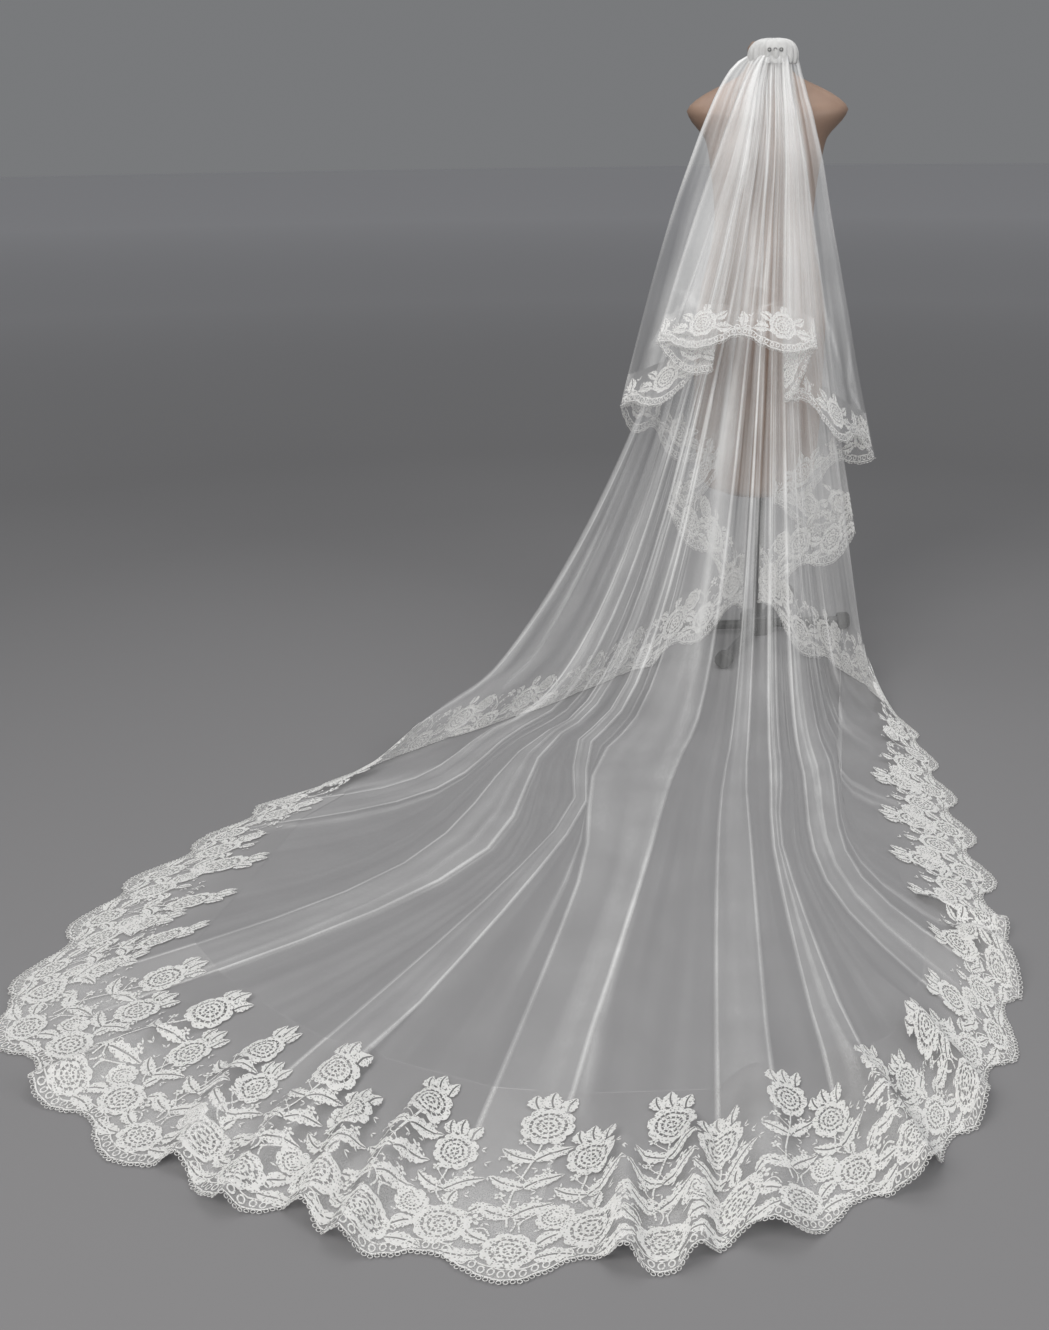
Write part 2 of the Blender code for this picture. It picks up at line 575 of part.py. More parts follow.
def build_comb(material):
    """A hair comb: a bar with a row of teeth, lying between the neck and the heading."""
    teeth = 12
    y_front, y_back = -0.0261, -0.0289
    z_top, z_bar, z_tip = 1.484, 1.476, 1.440
    edges = [COMB_X - 0.040 + 0.080 * step / (2 * teeth - 1) for step in range(2 * teeth)]
    vertices = []
    for y in (y_front, y_back):
        for height in (z_top, z_bar, z_tip):
            vertices += [(x, y, height) for x in edges]
    count = len(edges)
    back = 3 * count
    faces = []
    for column in range(count - 1):
        top, bar, tip = column, count + column, 2 * count + column
        faces.append((top, top + 1, bar + 1, bar))
        faces.append((back + bar, back + bar + 1, back + top + 1, back + top))
        faces.append((top, back + top, back + top + 1, top + 1))
        if column % 2 == 0:
            faces.append((bar, bar + 1, tip + 1, tip))
            faces.append((back + tip, back + tip + 1, back + bar + 1, back + bar))
            faces.append((bar, tip, back + tip, back + bar))
            faces.append((tip + 1, bar + 1, back + bar + 1, back + tip + 1))
            faces.append((tip, tip + 1, back + tip + 1, back + tip))
        else:
            faces.append((bar, bar + 1, back + bar + 1, back + bar))
    for column in (0, count - 1):
        top, bar = column, count + column
        faces.append((top, bar, back + bar, back + top))
    used = sorted({index for face in faces for index in face})
    place = {index: number for number, index in enumerate(used)}
    faces = [tuple(place[index] for index in face) for face in faces]
    new_solid("comb", [vertices[index] for index in used], faces, material)


def disc(centre, radius, sides, first=(1.0, 0.0, 0.0), second=(0.0, 1.0, 0.0)):
    """A ring of points about a centre, in the plane of two directions, with a flat side down."""
    centre, first, second = np.array(centre), np.array(first), np.array(second)
    ring = []
    for side in range(sides):
        turn = 2 * math.pi * (side + 0.5) / sides
        ring.append(centre + radius * (math.sin(turn) * first - math.cos(turn) * second))
    return ring


def build_pole(material):
    rings = [disc((0.0, 0.0, height), POLE_RADIUS, 16) for height in (HUB_HEIGHT + SEAM, 0.385 - SEAM)]
    rings_solid("pole", rings, material)


def build_hub(material):
    shape = ((0.0, 0.94), (0.003, 1.0), (HUB_HEIGHT - 0.004, 1.0), (HUB_HEIGHT, 0.9))
    rings = [disc((0.0, 0.0, height), HUB_RADIUS * size, 24) for height, size in shape]
    rings_solid("base_hub", rings, material)


def build_leg(number, end_x, end_y, tube, cap):
    """A tube lying just above the floor from the hub to a round rubber end cap."""
    length = math.hypot(end_x, end_y)
    along = np.array((end_x / length, end_y / length, 0.0))
    aside = np.array((-along[1], along[0], 0.0))
    flat_down = CAP_RADIUS * math.cos(math.pi / 12)
    centre = np.array((0.0, 0.0, flat_down))
    sides = (0.0, 0.0, 1.0)
    start, joint = HUB_RADIUS + SEAM, length - 0.030
    rings = [disc(centre + along * reach, TUBE_RADIUS, 12, aside, sides) for reach in (start, joint - SEAM)]
    rings_solid("base_leg_%d" % number, rings, tube)
    steps = ((joint, 0.92), (joint + 0.003, 1.0), (length - 0.006, 1.0), (length, 0.80))
    rings = [disc(centre + along * reach, CAP_RADIUS * size, 12, aside, sides) for reach, size in steps]
    rings_solid("foot_cap_%d" % number, rings, cap)


def build_stand(metal, rubber):
    build_pole(metal)
    build_hub(metal)
    for number, end in enumerate(((-0.25, -0.02), (0.25, 0.02), (-0.13, -0.32), (0.13, 0.32)), 1):
        build_leg(number, end[0], end[1], metal, rubber)


def main():
    for old in list(bpy.data.objects):
        bpy.data.objects.remove(old, do_unlink=True)
    tulle = new_material("tulle", (0.86, 0.86, 0.85), 0.6)
    lace = new_material("lace", (0.93, 0.92, 0.90), 0.7)
    build_veil(tulle, lace)
    build_heading(new_material("gathered_tulle", (0.90, 0.90, 0.89), 0.6))
    build_comb(new_material("clear_plastic", (0.80, 0.80, 0.78), 0.2))
    build_form(new_material("form_skin", (0.42, 0.31, 0.25), 0.5))
    metal = new_material("black_metal", (0.03, 0.03, 0.03), 0.4)
    build_stand(metal, new_material("black_rubber", (0.02, 0.02, 0.02), 0.8))


main()
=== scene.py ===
import math
from collections import namedtuple
import bpy
import numpy as np
from mathutils import Matrix, Vector


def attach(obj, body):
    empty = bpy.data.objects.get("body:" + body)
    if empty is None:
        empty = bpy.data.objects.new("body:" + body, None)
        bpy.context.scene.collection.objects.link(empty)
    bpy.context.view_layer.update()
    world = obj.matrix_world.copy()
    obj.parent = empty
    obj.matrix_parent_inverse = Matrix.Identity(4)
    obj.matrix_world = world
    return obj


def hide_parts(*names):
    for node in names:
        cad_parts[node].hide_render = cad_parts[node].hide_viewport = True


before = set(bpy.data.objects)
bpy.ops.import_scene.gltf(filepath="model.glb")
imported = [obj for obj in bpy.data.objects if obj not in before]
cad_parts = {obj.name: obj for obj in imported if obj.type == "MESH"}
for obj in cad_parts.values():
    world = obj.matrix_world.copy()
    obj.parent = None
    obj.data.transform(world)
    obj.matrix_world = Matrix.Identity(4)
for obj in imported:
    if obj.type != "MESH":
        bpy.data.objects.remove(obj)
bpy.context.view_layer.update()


def linked(name, data):
    thing = bpy.data.objects.new(name, data)
    bpy.context.scene.collection.objects.link(thing)
    return thing


# The photograph's view: 18.3 degrees down, 44.66 mm on a 36 mm frame
cameraLook = {"place": (-0.625, -4.24, 1.315), "down": 18.3, "roll": -0.75, "lens": 44.66}
cameraData = bpy.data.cameras.new("photo_camera")
cameraData.lens = cameraLook["lens"]
cameraData.sensor_width = 36.0
cameraData.clip_end = 50.0
camera = linked("photo_camera", cameraData)
camera.matrix_world = (Matrix.Translation(cameraLook["place"])
                       @ Matrix.Rotation(math.radians(90.0 - cameraLook["down"]), 4, "X")
                       @ Matrix.Rotation(math.radians(cameraLook["roll"]), 4, "Z"))
bpy.context.scene.camera = camera

# Driving sizes of the veil, in metres
combX = -0.015
combWidth = 0.084
combDepth = 0.003
headingZ = 1.452
laceRepeat = 0.195
layerGapTop = 0.0036
layerGapHung = 0.0050
layerGapLaid = 0.0038
foldStep = 0.0045
bandStep = 0.003
bandFull = 0.012
formX = -0.015

# How far the form's back stands out from its middle at each height
back = ((0.0, -0.06), (0.20, 0.0), (0.42, 0.095), (0.62, 0.112), (0.84, 0.124), (0.96, 0.112),
        (1.08, 0.096), (1.22, 0.112), (1.31, 0.092), (1.38, 0.056), (1.43, 0.030), (1.60, 0.022))

# One row for each ray. kind says what the cloth does there: "soft" rolls on, "front" and "rear"
# turn a pass back on itself, with the earlier face in front or behind, and "left" and "right"
# are the edges of a pressed pleat. top is where the ray leaves the heading, as a share of the
# comb's half width, and depth how far behind the comb. away is how far it stands off the form's
# back, slack how steeply it hangs. foot is where it meets the floor, way a point beyond that, hem
# its end, and lace the depth of the border. flare, under 1 for a ray that spreads sideways early,
# is 1 where it isn't given.
Ray = namedtuple("Ray", "name kind top depth away slack foot way hem lace flare", defaults=(1.0,))

rays = (
    Ray("right_turn_1", "rear", 0.76, 0.051, 0.155, 1.85, None, None, (0.062, -0.396, 0.799), 0.080, 0.85),
    Ray("upper_right", "soft", 0.30, 0.054, 0.162, 1.85, None, None, (-0.018, -0.400, 0.833), 0.080, 0.90),
    Ray("upper_middle", "soft", -0.10, 0.054, 0.162, 1.85, None, None, (-0.106, -0.400, 0.824), 0.080, 0.90),
    Ray("upper_left", "soft", -0.45, 0.054, 0.162, 1.85, None, None, (-0.199, -0.400, 0.842), 0.080, 0.85),
    Ray("left_turn_1", "front", -0.80, 0.051, 0.155, 1.85, None, None, (-0.314, -0.396, 0.816), 0.080, 0.75),
    Ray("left_fold_1", "front", -0.50, 0.048, 0.148, 1.85, None, None, (-0.180, -0.378, 0.756), 0.080, 0.85),
    Ray("left_drape", "soft", -1.00, 0.038, 0.140, 1.80, None, None, (-0.290, -0.372, 0.706), 0.082, 0.75),
    Ray("left_turn_2", "front", -1.40, 0.022, 0.075, 1.60, None, None, (-0.390, -0.330, 0.661), 0.085, 0.60),
    Ray("left_back", "soft", -0.95, 0.010, 0.028, 1.20, None, None, (-0.265, -0.152, 0.552), 0.088, 0.80),
    Ray("left_fold_2", "rear", -0.42, 0.004, 0.012, 1.20, None, None, (-0.130, -0.136, 0.466), 0.090),
    Ray("left_turn_3", "rear", -0.74, 0.014, 0.064, 1.20, None, None, (-0.262, -0.190, 0.376), 0.105, 0.90),
    Ray("left_sweep", "soft", -0.55, 0.0155, 0.055, 1.20, None, None, (-0.190, -0.178, 0.306), 0.120),
    Ray("left_fold_3", "rear", -0.28, 0.0175, 0.050, 1.20, None, None, (-0.063, -0.176, 0.137), 0.125),
    Ray("back_left", "soft", -0.48, 0.0215, 0.085, 1.15, None, None, (-0.145, -0.250, 0.110), 0.125),
    Ray("floor_left", "soft", -0.78, 0.0245, 0.112, 1.10, None, None, (-0.330, -0.290, 0), 0.125, 0.95),
    Ray("side_left_1", "soft", -0.88, 0.0265, 0.116, 1.50, None, None, (-0.550, -0.550, 0), 0.130, 0.97),
    Ray("side_left_2", "soft", -0.93, 0.0268, 0.117, 1.95, (-0.695, -0.675, 0.135), (-0.83, -0.81, 0.075),
        (-0.91, -0.89, 0), 0.135, 1.06),
    Ray("side_left_3", "soft", -0.93, 0.0302, 0.128, 1.95, (-0.680, -0.700, 0.125), (-0.84, -0.87, 0.06),
        (-1.00, -1.00, 0), 0.142, 1.06),
    Ray("band_a_left", "left", -0.80, 0.031, 0.135, 1.9, (-0.66, -0.67), (-0.86, -1.02),
        (-1.14, -1.15, 0), 0.15),
    Ray("band_a_right", "right", -0.70, 0.031, 0.135, 1.9, (-0.60, -0.68), (-0.82, -1.09),
        (-1.22, -1.29, 0), 0.16),
    Ray("tip_left", "soft", -0.62, 0.031, 0.135, 1.9, (-0.570, -0.69), (-0.93, -1.38),
        (-1.36, -1.55, 0), 0.24),
    Ray("band_b_left", "left", -0.57, 0.031, 0.135, 1.9, (-0.545, -0.70), (-0.86, -1.44),
        (-1.45, -1.94, 0), 0.33),
    Ray("band_b_right", "right", -0.48, 0.031, 0.135, 1.9, (-0.51, -0.71), (-0.73, -1.44),
        (-1.40, -2.06, 0), 0.35),
    Ray("corner_left", "soft", -0.41, 0.031, 0.135, 1.9, (-0.49, -0.72), (-0.67, -1.50),
        (-1.24, -2.27, 0), 0.37),
    Ray("band_c_left", "left", -0.35, 0.031, 0.135, 1.9, (-0.475, -0.73), (-0.55, -1.24),
        (-1.10, -2.38, 0), 0.37),
    Ray("band_c_right", "right", -0.26, 0.031, 0.135, 1.9, (-0.445, -0.745), (-0.52, -1.24),
        (-1.00, -2.44, 0), 0.37),
    Ray("band_d_left", "left", -0.18, 0.031, 0.135, 1.9, (-0.415, -0.78), (-0.53, -1.50),
        (-0.76, -2.56, 0), 0.38),
    Ray("band_d_right", "right", -0.05, 0.031, 0.135, 1.9, (-0.255, -0.80), (-0.42, -1.54),
        (-0.64, -2.58, 0), 0.38),
    Ray("band_e_left", "left", 0.08, 0.031, 0.135, 1.9, (-0.19, -0.92), (-0.28, -1.50),
        (-0.40, -2.56, 0), 0.36),
    Ray("band_e_right", "right", 0.18, 0.031, 0.135, 1.9, (-0.145, -0.92), (-0.21, -1.50),
        (-0.31, -2.52, 0), 0.35),
    Ray("band_f_left", "left", 0.24, 0.031, 0.135, 1.9, (-0.10, -0.93), (-0.16, -1.40),
        (-0.21, -2.47, 0), 0.34),
    Ray("band_f_right", "right", 0.36, 0.031, 0.135, 1.9, (-0.075, -0.93), (-0.14, -1.40),
        (-0.13, -2.42, 0), 0.32),
    Ray("corner_right", "soft", 0.44, 0.031, 0.135, 1.9, (-0.055, -0.93), (-0.12, -1.50),
        (-0.05, -2.33, 0), 0.27),
    Ray("band_g_left", "left", 0.50, 0.031, 0.135, 1.9, (-0.035, -0.92), (-0.085, -1.55),
        (0.07, -2.12, 0), 0.23),
    Ray("band_g_right", "right", 0.59, 0.031, 0.135, 1.9, (0.03, -0.86), (-0.02, -1.48),
        (0.13, -1.94, 0), 0.22),
    Ray("side_right_1", "soft", 0.67, 0.031, 0.132, 1.85, (0.065, -0.78), (0.015, -1.33),
        (0.195, -1.52, 0), 0.19),
    Ray("side_right_2", "soft", 0.76, 0.030, 0.122, 1.75, (0.10, -0.66), (0.055, -0.95),
        (0.22, -1.15, 0), 0.18),
    Ray("side_right_3", "soft", 0.84, 0.029, 0.110, 1.60, (0.13, -0.52, 0.10), (0.165, -0.64, 0.05),
        (0.24, -0.80, 0), 0.15),
    Ray("side_right_4", "front", 0.90, 0.0275, 0.096, 1.10, None, None, (0.205, -0.480, 0), 0.145, 0.95),
    Ray("floor_right", "soft", 0.80, 0.0255, 0.090, 1.10, None, None, (0.170, -0.340, 0), 0.135, 0.95),
    Ray("back_right", "soft", 0.62, 0.0235, 0.088, 1.10, None, None, (0.132, -0.252, 0.010), 0.130),
    Ray("back_rise", "soft", 0.42, 0.0215, 0.071, 1.15, None, None, (0.053, -0.218, 0.062), 0.125),
    Ray("right_fold_3", "front", 0.18, 0.0175, 0.050, 1.20, None, None, (-0.026, -0.186, 0.164), 0.120),
    Ray("right_sweep", "soft", 0.48, 0.0160, 0.060, 1.20, None, None, (0.128, -0.204, 0.256), 0.115),
    Ray("right_turn_3", "front", 0.70, 0.014, 0.076, 1.20, None, None, (0.206, -0.222, 0.322), 0.105, 0.95),
    Ray("right_fold_2", "front", 0.40, 0.004, 0.012, 1.20, None, None, (0.009, -0.145, 0.377), 0.100),
    Ray("right_back", "soft", 0.95, 0.010, 0.026, 1.20, None, None, (0.130, -0.150, 0.463), 0.090, 0.95),
    Ray("right_turn_2", "rear", 1.40, 0.022, 0.060, 1.40, None, None, (0.236, -0.225, 0.540), 0.085, 0.90),
    Ray("right_drape", "soft", 0.95, 0.038, 0.140, 1.70, None, None, (0.130, -0.350, 0.610), 0.082, 0.90),
    Ray("right_fold_1", "rear", 0.45, 0.048, 0.148, 1.85, None, None, (-0.008, -0.378, 0.707), 0.080, 0.90),
)

# Each panel runs from half way before its first ray to half way past its last
Panel = namedtuple("Panel", "tulle lace first last")

panels = (
    Panel("upper_tier", "lace_upper", "right_turn_1", "left_turn_1"),
    Panel("cascade_left", "lace_cascade_left", "left_fold_1", "left_turn_3"),
    Panel("long_tier_back_left", "lace_back_left", "left_sweep", "floor_left"),
    Panel("long_tier_left", "lace_train_left", "side_left_1", "corner_left"),
    Panel("long_tier_centre", "lace_train_end", "band_c_left", "corner_right"),
    Panel("long_tier_right", "lace_train_right", "band_g_left", "side_right_4"),
    Panel("long_tier_back_right", "lace_back_right", "floor_right", "back_rise"),
    Panel("cascade_right", "lace_cascade_right", "right_fold_3", "right_fold_1"),
)

# Rows of points down a ray: at fixed heights to start with. Below them, a ray whose tulle hangs
# clear has rows at shares of its drop, and one that reaches the floor has more fixed heights,
# then shares of the laid length. The lace's rows are shares of its depth.
hungLevels = (1.452, 1.38, 1.28, 1.14, 0.94)
clearRows = (0.20, 0.40, 0.60, 0.80, 0.93, 1.0)
lowLevels = (0.68, 0.40, 0.12)
laidRows = (0.20, 0.60, 1.0)
laceRows = (0.36, 0.70, 1.0)
wRow = len(hungLevels) + len(clearRows) - 1
hemRow = wRow + len(laceRows)
split = 4

# The scalloped edge over one repeat: share of the repeat, reach past the hem line
scallop = ((0.0, -0.012), (0.10, -0.008), (0.25, 0.012), (0.38, 0.025), (0.5, 0.030), (0.62, 0.025),
           (0.75, 0.012), (0.90, -0.008), (1.0, -0.012))

# Ridges in the laid cloth: start x and y, end x and y, height, half width
Ridge = namedtuple("Ridge", "x0 y0 x1 y1 height half")

ridges = (
    Ridge(-0.10, -1.10, -0.46, -1.90, 0.012, 0.050),
    Ridge(-0.30, -2.10, -0.33, -2.56, 0.040, 0.070),
    Ridge(-0.17, -2.06, -0.12, -2.46, 0.036, 0.060),
    Ridge(0.10, -1.74, 0.17, -1.90, 0.040, 0.055),
    Ridge(-0.85, -2.02, -1.00, -2.40, 0.024, 0.060),
    Ridge(-1.06, -1.90, -1.30, -2.16, 0.018, 0.060),
    Ridge(-1.14, -2.00, -1.36, -2.20, 0.030, 0.040),
    Ridge(-1.04, -2.10, -1.11, -2.44, 0.026, 0.036),
    Ridge(-0.95, -2.20, -1.02, -2.48, 0.030, 0.034),
    Ridge(-0.85, -2.20, -0.92, -2.50, 0.030, 0.038),
    Ridge(-0.77, -2.22, -0.86, -2.54, 0.036, 0.040),
    Ridge(-0.50, -2.30, -0.515, -2.60, 0.042, 0.034),
    Ridge(-0.40, -2.28, -0.425, -2.58, 0.038, 0.032),
    Ridge(-0.16, -2.12, -0.11, -2.46, 0.052, 0.044),
    Ridge(-0.06, -1.95, -0.005, -2.22, 0.040, 0.038),
    Ridge(0.04, -1.60, 0.18, -1.72, 0.020, 0.035),
)

# The gown form's cross-sections: height, half width, front reach
formRings = (
    (0.385, 0.080, 0.060), (0.402, 0.130, 0.098), (0.450, 0.152, 0.120), (0.600, 0.163, 0.134),
    (0.800, 0.165, 0.138), (0.900, 0.152, 0.132), (1.000, 0.130, 0.112), (1.070, 0.122, 0.104),
    (1.150, 0.128, 0.122), (1.200, 0.135, 0.136), (1.260, 0.148, 0.128), (1.310, 0.188, 0.096),
    (1.330, 0.197, 0.084), (1.350, 0.180, 0.074), (1.375, 0.140, 0.066), (1.395, 0.095, 0.062),
    (1.415, 0.062, 0.060), (1.440, 0.050, 0.060), (1.475, 0.050, 0.062), (1.486, 0.040, 0.052),
)
formSkin = 0.004


def smoothStep(share):
    share = min(1.0, max(0.0, share))
    return share * share * (3.0 - 2.0 * share)


# Reads a two-column table with a soft blend between its rows.
def fromTable(rows, x):
    if x <= rows[0][0]:
        return rows[0][1]
    for (x0, y0), (x1, y1) in zip(rows, rows[1:]):
        if x <= x1:
            return y0 + (y1 - y0) * smoothStep((x - x0) / (x1 - x0))
    return rows[-1][1]


def unit(vectors):
    lengths = np.linalg.norm(vectors, axis=-1, keepdims=True)
    return vectors / np.maximum(lengths, 1e-9)


# The part of each vector that is square to another direction.
def squareTo(vectors, along):
    along = unit(along)
    return vectors - along * np.sum(vectors * along, axis=-1, keepdims=True)


# Moves a hanging point softly away from the form's back, further for an outer layer.
def clearOfForm(point, ray):
    below = smoothStep((headingZ - point[2]) / 0.45)
    standOff = fromTable(back, point[2]) + combDepth + ray.depth + (ray.away - ray.depth) * below
    softness = 0.020 * below
    out = -point[1]
    out = 0.5 * (out + standOff + math.hypot(out - standOff, softness))
    return np.array((point[0], -out, max(point[2], 0.0)))


# A point on a hanging ray: steep under the comb, flatter where it nears the floor.
def hungPoint(top, end, ray, share):
    reach = 1.0 - (max(end[2], 0.0) / top[2]) ** (1.0 / ray.slack)
    across = share ** ray.flare
    x = top[0] + (end[0] - top[0]) * across
    y = top[1] + (end[1] - top[1]) * share
    return np.array((x, y, top[2] * (1.0 - reach * share) ** ray.slack))


# A point on the cubic curve between two points with given directions at both.
def curvePoint(start, end, leaving, arriving, share):
    s2 = share * share
    s3 = s2 * share
    point = start * (2 * s3 - 3 * s2 + 1) + leaving * (s3 - 2 * s2 + share)
    return point + end * (3 * s2 - 2 * s3) + arriving * (s3 - s2)


# The whole ray from comb to hem, as points close together.
def rayPoints(ray):
    headingOut = fromTable(back, headingZ) + combDepth + ray.depth
    top = np.array((combX + ray.top * combWidth / 2, -headingOut, headingZ))
    hem = np.array(ray.hem, dtype=float)
    if ray.foot is None:
        points = [hungPoint(top, hem, ray, step / 60) for step in range(61)]
    else:
        foot = np.array((*ray.foot, 0.0)[:3])
        way = np.array((*ray.way, 0.0)[:3])
        points = [hungPoint(top, foot, ray, step / 40) for step in range(40)]
        landing = unit(foot - points[-1]) * np.linalg.norm(way - foot)
        if foot[2] == 0.0:
            landing[2] = 0.0
        heading = unit(hem - foot)
        arriving = heading * np.linalg.norm(way - foot)
        passing = heading * np.linalg.norm(hem - way)
        points += [curvePoint(foot, way, landing, arriving, step / 16) for step in range(16)]
        points += [curvePoint(way, hem, passing, hem - way, step / 16) for step in range(17)]
    return np.array([clearOfForm(point, ray) for point in points])


# The length along a polyline up to each of its points.
def runLengths(points):
    return np.concatenate(((0.0,), np.cumsum(np.linalg.norm(np.diff(points, axis=0), axis=1))))


# The points of each row down the ray, each of the CAD's rows split: the tulle's, then the lace's.
def rayColumn(ray):
    points = rayPoints(ray)
    run = runLengths(points)
    startOfLace = run[-1] - ray.lace
    laceHeight = float(np.interp(startOfLace, run, points[:, 2]))
    heights = list(hungLevels)
    if laceHeight > 0.02:
        heights += [heights[-1] + (laceHeight - heights[-1]) * share for share in clearRows]
        lengths = list(np.interp([-height for height in heights], -points[:, 2], run))
    else:
        heights += lowLevels
        lengths = list(np.interp([-height for height in heights], -points[:, 2], run))
        laid = startOfLace - lengths[-1]
        lengths += [lengths[-1] + laid * share for share in laidRows]
    lengths[wRow] = startOfLace
    lengths += [startOfLace + ray.lace * share for share in laceRows]
    fine = np.interp(np.arange(hemRow * split + 1) / split, np.arange(hemRow + 1), lengths)
    return np.stack([np.interp(fine, run, points[:, axis]) for axis in range(3)], axis=1)


# The spacing of folded layers at each row: close at the comb, wide where they hang.
def layerGap(column):
    gaps = []
    for height in column[:, 2]:
        hung = layerGapTop + (layerGapHung - layerGapTop) * smoothStep((headingZ - height) / 0.3)
        gaps.append(layerGapLaid + (hung - layerGapLaid) * smoothStep(height / 0.15))
    return np.array(gaps)[:, None]


# A fold as three columns: one face, the edge, the other face.
def foldColumns(before, column, after, front):
    towardViewer = np.array((0.0, -1.0, 0.0)) * (1.0 if front else -1.0)
    gap = layerGap(column)
    down = np.gradient(column, axis=0)
    columns = []
    for neighbour, side in ((before, 0.5), (after, -0.5)):
        aside = squareTo(neighbour - column, down)
        step = np.minimum(foldStep, 0.25 * np.linalg.norm(aside, axis=1, keepdims=True))
        columns.append(column + unit(aside) * step + towardViewer * gap * side)
    outward = squareTo(unit(column - before) + unit(column - after), down)
    edge = column + unit(outward) * gap * 0.3
    return [columns[0], edge, columns[1]]


# A pressed pleat as a band raised as far as the border: two columns at each of its edges.
def bandColumns(left, right):
    down = np.gradient((left + right) / 2, axis=0)
    span = squareTo(right - left, down)
    width = np.linalg.norm(span, axis=1, keepdims=True)
    across = unit(span)
    out = unit(np.cross(down, across))
    step = np.minimum(bandStep, 0.2 * width)
    rise = layerGap(left) * np.minimum(1.0, width / bandFull)
    rise *= np.clip(wRow - np.arange(len(rise)) / split, 0.0, 1.0)[:, None]
    return [left - across * step, left + across * step + out * rise,
            right - across * step + out * rise, right + across * step]


def ridgeHeight(x, y):
    height = 0.0
    for ridge in ridges:
        alongX, alongY = ridge.x1 - ridge.x0, ridge.y1 - ridge.y0
        length = math.hypot(alongX, alongY)
        share = ((x - ridge.x0) * alongX + (y - ridge.y0) * alongY) / length ** 2
        aside = abs((x - ridge.x0) * alongY - (y - ridge.y0) * alongX) / length
        swell = smoothStep((share + 0.25) / 0.6)
        fall = 1.0 - smoothStep((share - 1.0) / 0.5)
        height = max(height, ridge.height * swell * fall * (1.0 - smoothStep(aside / ridge.half)))
    return height


# Lifts laid points over the ridges and keeps them clear of the floor.
def settle(points):
    for point in points:
        laid = 1.0 - smoothStep((point[2] - 0.03) / 0.06)
        point[2] = max(point[2] + laid * ridgeHeight(point[0], point[1]),
                       veilLook["clothFloor"])
    return points


# The direction of the sheet along one axis at each point, half way between its two cells'.
def directions(grid, axis):
    steps = unit(np.diff(grid, axis=axis))
    before = np.concatenate((steps.take([0], axis=axis), steps), axis=axis)
    after = np.concatenate((steps, steps.take([-1], axis=axis)), axis=axis)
    return unit(before + after)


def sheetNormals(grid):
    return unit(np.cross(directions(grid, 0), directions(grid, 1)))


veilLook = {
    "hungCover": 0.125,       # how much a single hanging layer hides
    "laidCover": 0.075,       # the same on the floor
    "combCover": 0.26,        # added close to the comb, where the cloth is gathered
    "bandCover": 0.085,       # a pressed pleat
    "edgeCover": 0.30,        # the crisp edge of a pleat
    "turnCover": 0.26,        # the edge of a soft fold
    "netCover": 0.24,         # the lace's net ground
    "columnSpacing": 0.014,   # at the hem, in metres
    "hungSwell": 0.0040,      # height of the soft folds where the long tier hangs free
    "nearSwell": 0.0012,      # the same where layers lie close together
    "laidSwell": 0.0030,      # the same on the floor
    "foldLines": 44,          # fine slanting folds, pressed in by handling
    "foldLineCover": 0.15,
    "foldLineRise": 0.0030,
    "clothFloor": 0.0012,     # least height of the tulle over the floor
    "netFloor": 0.0024,       # the same for the lace's net
    "threadFloor": 0.0026,    # and for its thread work
}


# Every column round the veil, split finely between the rays, with what each is part of, the names
# of the rays' groups, and the column half way past each group.
def veilColumns():
    own = [rayColumn(ray) for ray in rays]
    count = len(rays)
    columns, kinds, middles, groups = [], [], {}, []
    for index, ray in enumerate(rays):
        if ray.kind == "right":
            continue
        before, column, after = own[index - 1], own[index], own[(index + 1) % count]
        if ray.kind == "left":
            outer = bandColumns(column, after)
            group = [outer[0]]
            marks = ["plain"]
            width = np.linalg.norm(outer[2][-1] - outer[1][-1])
            inner = max(3, int(width / veilLook["columnSpacing"]))
            shares = [0.05 + 0.9 * (n + 1) / (inner + 1) for n in range(inner)]
            shares = [0.0, 0.05] + shares + [0.95, 1.0]
            for share in shares:
                group.append(outer[1] + (outer[2] - outer[1]) * share)
                marks.append("edge" if share in (0.0, 1.0) else "band")
            group.append(outer[3])
            marks.append("plain")
        elif ray.kind in ("front", "rear"):
            group = foldColumns(before, column, after, ray.kind == "front")
            marks = ["near", "turn", "near"]
        else:
            group, marks = [column], ["plain"]
        groups.append((ray.name, group, marks))
    for number, (name, group, marks) in enumerate(groups):
        columns += group
        kinds += marks
        start, end = group[-1], groups[(number + 1) % len(groups)][1][0]
        width = np.linalg.norm(end[-1] - start[-1])
        half = max(2, int(0.5 * width / veilLook["columnSpacing"]))
        for step in range(1, 2 * half):
            columns.append(start + (end - start) * step / (2 * half))
            kinds.append("plain")
            if step == half:
                middles[name] = len(columns) - 1
    names = [name for name, group, marks in groups]
    return np.stack(columns, axis=1), kinds, names, middles


# Rounds the corners that the sheet has at each soft ray, and leaves pleats and folds crisp.
def softened(grid, kinds):
    free = np.array([kind == "plain" for kind in kinds])
    free &= np.roll(free, 1) & np.roll(free, -1)
    for _ in range(6):
        average = (np.roll(grid, 1, axis=1) + np.roll(grid, -1, axis=1)) / 2
        grid = np.where(free[None, :, None], 0.5 * grid + 0.5 * average, grid)
    return grid


